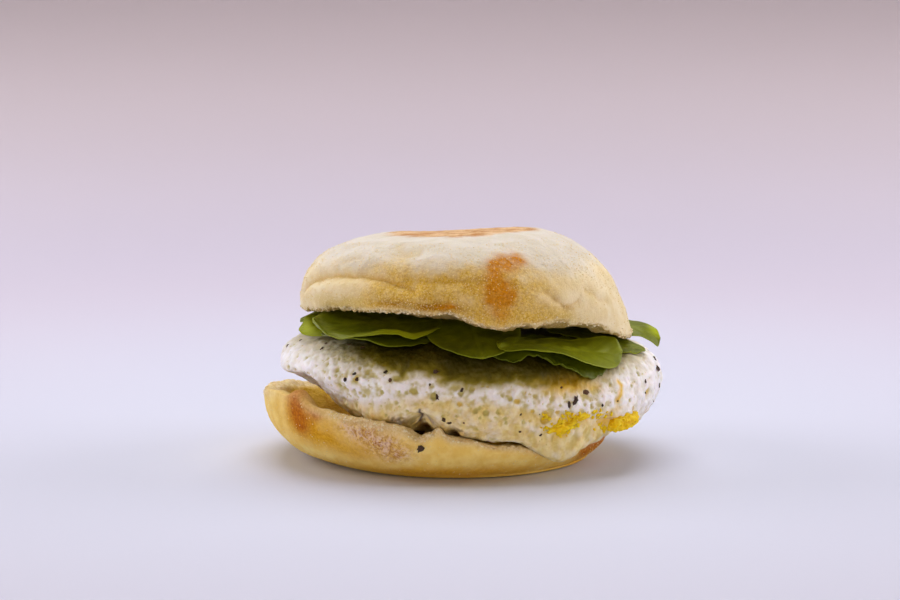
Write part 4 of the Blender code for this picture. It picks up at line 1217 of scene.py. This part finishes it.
def strew_pepper(egg, heel):
    """Coarse black pepper: the flakes that show in front, and more round the back."""
    draw = random.Random(PEPPER_SEED)
    flakes = Bits(2)
    for azimuth, height, size in PEPPER_SPOTS:
        at = egg.find(azimuth, height, *EGG_SIDE_ROWS)
        flakes.add(egg, at, size, draw, 0.4, 0.8, 0.4)
    for _ in range(PEPPER_BEHIND):
        at = egg.find(draw.uniform(*BEHIND_AZIMUTHS), draw.uniform(*BEHIND_HEIGHTS), *EGG_SIDE_ROWS)
        flakes.add(egg, at, draw.uniform(0.3, 0.85), draw, 0.4, 1, 0.4)
    flakes.add(heel, heel.find(*HEEL_FLAKE, *HEEL_FLAKE_ROWS), 0.95, draw, 0.5, 0.7, 0.3)
    finish = bits_finish("pepper", (0.02, 0.009, 0.003), (0.11, 0.05, 0.02), 0.7)
    flakes.build("pepper_flakes", finish, "egg_white")


GRAIN_SEED = 3
CROWN_GRAINS = 8000
HEEL_GRAINS = 1500
GRAIN_SIZES = (0.08, 0.2)
# The size of the drifts that the grains gather in.
DRIFT_SIZE = 9
CROWN_SIDE_ROWS = (24, 96)
HEEL_SIDE_ROWS = (12, 50)


def strew_grains(crown, heel):
    """Cornmeal and flour caught in the skin of both halves of the muffin."""
    draw = random.Random(GRAIN_SEED)
    grains = Bits(1)
    for skin, count, rows in ((crown, CROWN_GRAINS, CROWN_SIDE_ROWS), (heel, HEEL_GRAINS, HEEL_SIDE_ROWS)):
        for _ in range(count):
            column = skin.column(draw.uniform(0, TURN))
            row = draw.randrange(*rows)
            if noise.noise(Vector(skin.points[column, row]) / DRIFT_SIZE) + draw.uniform(-0.5, 0.5) < 0:
                continue
            grains.add(skin, (column, row), draw.uniform(*GRAIN_SIZES), draw, 0.6, 0.4, 0.3)
    finish = bits_finish("cornmeal", (0.76, 0.56, 0.18), (0.90, 0.78, 0.46), 0.6)
    grains.build("cornmeal_grains", finish, "muffin_crust")


CRUMB_SEED = 8
CROWN_CRUMBS = 480
HEEL_CRUMBS = 520
CROWN_EDGE_ROW = 22
HEEL_EDGE_ROW = 52
CRUMB_SIZES = (0.14, 0.3)
CROWDED_SHARE = 0.45
LARGE_SHARE = 0.2
# Azimuths that crumbs gather at, with their spread.
CRUMB_CLUSTERS = ((238, 7), (268, 5), (250, 3), (90, 12), (160, 8), (20, 9))


def strew_crumbs(crown, heel):
    """White crumbs of torn bread along both split edges, thicker in a few places."""
    draw = random.Random(CRUMB_SEED)
    crumbs = Bits(2)
    for skin, count, edge_row in ((crown, CROWN_CRUMBS, CROWN_EDGE_ROW), (heel, HEEL_CRUMBS, HEEL_EDGE_ROW)):
        for step in range(count):
            middle, spread = CRUMB_CLUSTERS[step % len(CRUMB_CLUSTERS)]
            crowded = draw.random() < CROWDED_SHARE
            azimuth = draw.gauss(middle, spread) if crowded else draw.uniform(0, TURN)
            if skin is heel and abs(turn_between(azimuth, BAKED_RIM)) < BAKED_SPREAD:
                continue
            column = skin.column(azimuth)
            row = edge_row + round(draw.gauss(0, 2))
            size = draw.uniform(*CRUMB_SIZES) * (1.5 if crowded and draw.random() < LARGE_SHARE else 1)
            crumbs.add(skin, (column, row), size, draw, 0.8, 0.8, 0.3)
    finish = bits_finish("crumb", (0.78, 0.60, 0.30), (0.92, 0.84, 0.62), 0.8)
    crumbs.build("bread_crumbs", finish, "muffin_crust", True)


# Cooked yolk: middle, half sizes along, out and up, azimuth it faces, and how far its right end rises.
Yolk = namedtuple("Yolk", "name middle half_size azimuth rise")
YOLKS = (
    Yolk("egg_yolk_side", (43, -27.6, 14.9), (6.8, 4.9, 2.4), 325, 0.3),
    Yolk("egg_yolk_front", (28.6, -39.5, 16.9), (8.2, 3.7, 1.5), 303, 2),
)


def build_yolk(yolk, finish):
    """A crumbly block of cooked yolk in its solid's form, grainy all over."""
    sphere, faces = icosphere(6)
    along, out, up = yolk.half_size
    angle = math.radians(yolk.azimuth)
    outward = np.array((math.cos(angle), math.sin(angle), 0))
    sideways = np.array((outward[1], -outward[0], 0))
    boxy = np.sign(sphere) * np.abs(sphere) ** 0.7
    uneven = np.array([noise.noise(Vector(p) * 2.1 + Vector((yolk.azimuth, 0, 0))) for p in sphere])
    boxy = boxy * (1 + 0.16 * uneven)[:, None]
    points = np.array(yolk.middle) + sideways * boxy[:, :1] * along + outward * boxy[:, 1:2] * out
    points[:, 2] += boxy[:, 2] * up - yolk.rise * np.sin(boxy[:, 0] * math.pi / 2)
    normal = sideways * boxy[:, :1] + outward * boxy[:, 1:2] + np.array((0, 0, 1)) * boxy[:, 2:]
    normal /= np.linalg.norm(normal, axis=1, keepdims=True)
    grainy = 0.7 * rough(points, 2, 91) + 0.25 * rough(points, 0.8, 95, 2)
    points = points + normal * grainy[:, None]
    # Low places in the grain get painted shade.
    piece = mesh_piece(yolk.name + "_crumbly", points, faces, finish, {"deep": np.clip(-grainy * 3, 0, 1)})
    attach(piece, "root")
    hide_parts(yolk.name)


def yolk_finish():
    s = Shader("egg_yolk")
    s.colour = s.mix(s.ramp(s.grain(2.2, 5, 0.6)), (0.88, 0.56, 0.001), (0.94, 0.72, 0.035))
    # Painted shade in the yolk's low crumbly places.
    s.layer("deep", (0.62, 0.33, 0.001), strength=0.6)
    s.soften(0.2, (2.4, 1.4, 0.2))
    relief = s.bump(s.grain(0.5, 4, 0.6), 0.15)
    return s.finish(Base_Color=s.colour, Roughness=0.55, Normal=relief, Specular_IOR_Level=0.12)


# Crumbs of yolk in the egg's side: azimuth, height, their scatter in degrees and millimetres, count.
YOLK_CRUMBS = (
    (295, 15.4, 1.6, 0.6, 12), (298.5, 17.2, 1.8, 0.7, 16), (303, 18.8, 2.2, 0.5, 14),
    (309, 18.3, 2.4, 0.5, 10), (302.5, 15.9, 1.8, 0.5, 10), (300, 13.6, 1.8, 0.5, 9),
    (293.2, 18.2, 0.7, 0.8, 5), (314.5, 16.6, 1.6, 0.8, 10), (316, 14, 1.6, 0.7, 10),
    (110, 27, 3, 1, 14), (20, 24, 2.4, 0.9, 10),
)
YOLK_CRUMB_SEED = 21
YOLK_CRUMB_SIZES = (0.2, 0.75)


def strew_yolk(egg, finish):
    """Small crumbs of yolk scattered round the chunks."""
    draw = random.Random(YOLK_CRUMB_SEED)
    crumbs = Bits(2)
    for azimuth, height, wide, tall, count in YOLK_CRUMBS:
        for _ in range(count):
            at = egg.find(azimuth + draw.gauss(0, wide), height + draw.gauss(0, tall), *EGG_SIDE_ROWS)
            crumbs.add(egg, at, draw.uniform(*YOLK_CRUMB_SIZES), draw, 0.5, 0.8, 0.4)
    crumbs.build("egg_yolk_crumbs", finish, "egg_yolk", True)


def build_food():
    crown = Skin(CROWN_SECTIONS, CROWN_ROWS, CROWN_AROUND, CROWN_CENTRE)
    shape_crown(crown)
    heel = Skin(HEEL_SECTIONS, HEEL_ROWS, HEEL_AROUND, HEEL_CENTRE)
    shape_heel(heel)
    egg = Skin(EGG_SECTIONS, EGG_ROWS, EGG_AROUND, EGG_CENTRE)
    shape_egg(egg, heel.tree())
    for skin in (crown, heel, egg):
        skin.facing = skin.normals()
    leaf_material = leaf_finish()
    pile = (egg.flat(egg.points).tolist(), egg.faces())
    roof = crown.tree()
    for leaf in LEAVES:
        build_leaf(leaf, leaf_material, pile, roof)
    for skin, node, finish, slot in (
        (crown, "muffin_crown", crust_finish(), "muffin_crust"),
        (heel, "muffin_heel", heel_finish(), "muffin_heel"),
        (egg, "egg_white", egg_finish(), "egg_white"),
    ):
        piece = skin.build(node + "_skin", finish)
        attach(piece, "root")
        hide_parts(node)
    yolk_material = yolk_finish()
    for yolk in YOLKS:
        build_yolk(yolk, yolk_material)
    strew_yolk(egg, yolk_material)
    strew_pepper(egg, heel)
    strew_grains(crown, heel)
    strew_crumbs(crown, heel)


# The camera's place and its downward tilt, for a long lens in front of the sandwich.
CAMERA_PLACE = (-0.0040, -0.7351, 0.144)
CAMERA_TILT = 7.69
CAMERA_LENS = 102.6
CAMERA_SENSOR = 36
# The stage is a wide round floor that curves up all round: distance from the middle and height, in metres.
STAGE_PROFILE = ((0, 0), (0.25, 0), (0.45, 0), (0.7, 0.012), (1, 0.05), (1.4, 0.15), (1.8, 0.32),
                 (2.2, 0.6), (2.5, 0.95), (2.7, 1.4), (2.8, 2), (2.85, 2.8))
STAGE_AROUND = 96
STAGE_STEPS = 6


def build_stage():
    """A pale floor that curves up into a backdrop all round."""
    line = finer(np.array(STAGE_PROFILE), STAGE_STEPS)
    line = np.maximum(line, 0)
    points, faces = [(0, 0, 0)], []
    for distance, height in line[1:]:
        for step in range(STAGE_AROUND):
            angle = 2 * math.pi * step / STAGE_AROUND
            points.append((distance * math.cos(angle), distance * math.sin(angle), height))
    for step in range(STAGE_AROUND):
        after = (step + 1) % STAGE_AROUND
        faces.append((0, 1 + step, 1 + after))
        for ring in range(len(line) - 2):
            low, high = 1 + ring * STAGE_AROUND, 1 + (ring + 1) * STAGE_AROUND
            faces.append((low + step, high + step, high + after, low + after))
    mesh = bpy.data.meshes.new("studio_floor")
    mesh.from_pydata(points, [], faces)
    mesh.shade_smooth()
    s = Shader("studio_floor")
    # The colour changes with distance from the middle, as painted light and shade for how light falls over
    # the stage: bluish near, darker mauve further out, pale far off.
    away = s.length(s.place)
    s.colour = s.mix(s.ramp(away, 60, 420), (0.64, 0.67, 0.80), (0.61, 0.57, 0.68))
    s.layer(s.ramp(away, 450, 1250), (0.93, 0.83, 0.88))
    mesh.materials.append(s.finish(Base_Color=s.colour, Roughness=0.7))
    floor = bpy.data.objects.new("studio_floor", mesh)
    bpy.context.scene.collection.objects.link(floor)


# Soft lights: name, place, aim, size in metres, power and colour.
Light = namedtuple("Light", "name place aim size power colour")
LIGHTS = (
    Light("top", (0, 0.30, 0.95), (0, 0, 0.04), 0.9, 8.4, (1, 0.98, 1)),
    Light("left", (-0.95, 0.22, 0.42), (0, 0, 0.03), 0.7, 5.4, (0.98, 0.96, 1)),
    Light("right", (0.95, 0.22, 0.42), (0, 0, 0.03), 0.7, 5, (0.98, 0.96, 1)),
    Light("front", (0, -1.6, 0.5), (0, 0, 0.03), 0.8, 5, (1, 0.79, 0.36)),
    Light("low", (0.45, -1.4, 0.13), (0, 0, 0.02), 0.24, 4.4, (1, 0.82, 0.42)),
)
WORLD_COLOUR = (0.95, 0.90, 0.92)
WORLD_STRENGTH = 0.12


def build_light():
    world = bpy.data.worlds.new("studio")
    world.use_nodes = True
    background = world.node_tree.nodes["Background"]
    background.inputs["Color"].default_value = (*WORLD_COLOUR, 1)
    background.inputs["Strength"].default_value = WORLD_STRENGTH
    bpy.context.scene.world = world
    for light in LIGHTS:
        data = bpy.data.lights.new(light.name, "AREA")
        data.energy = light.power
        data.size = light.size
        data.color = light.colour
        lamp = bpy.data.objects.new(light.name, data)
        lamp.location = light.place
        towards = Vector(light.aim) - Vector(light.place)
        lamp.rotation_euler = towards.to_track_quat("-Z", "Y").to_euler()
        lamp.visible_camera = False
        bpy.context.scene.collection.objects.link(lamp)


def build_camera():
    data = bpy.data.cameras.new("camera")
    data.sensor_width = CAMERA_SENSOR
    data.lens = CAMERA_LENS
    camera = bpy.data.objects.new("camera", data)
    camera.location = CAMERA_PLACE
    camera.rotation_euler = (math.radians(90 - CAMERA_TILT), 0, 0)
    bpy.context.scene.collection.objects.link(camera)
    bpy.context.scene.camera = camera
    bpy.context.scene.view_settings.view_transform = "Standard"


build_stage()
build_camera()
build_light()
build_food()
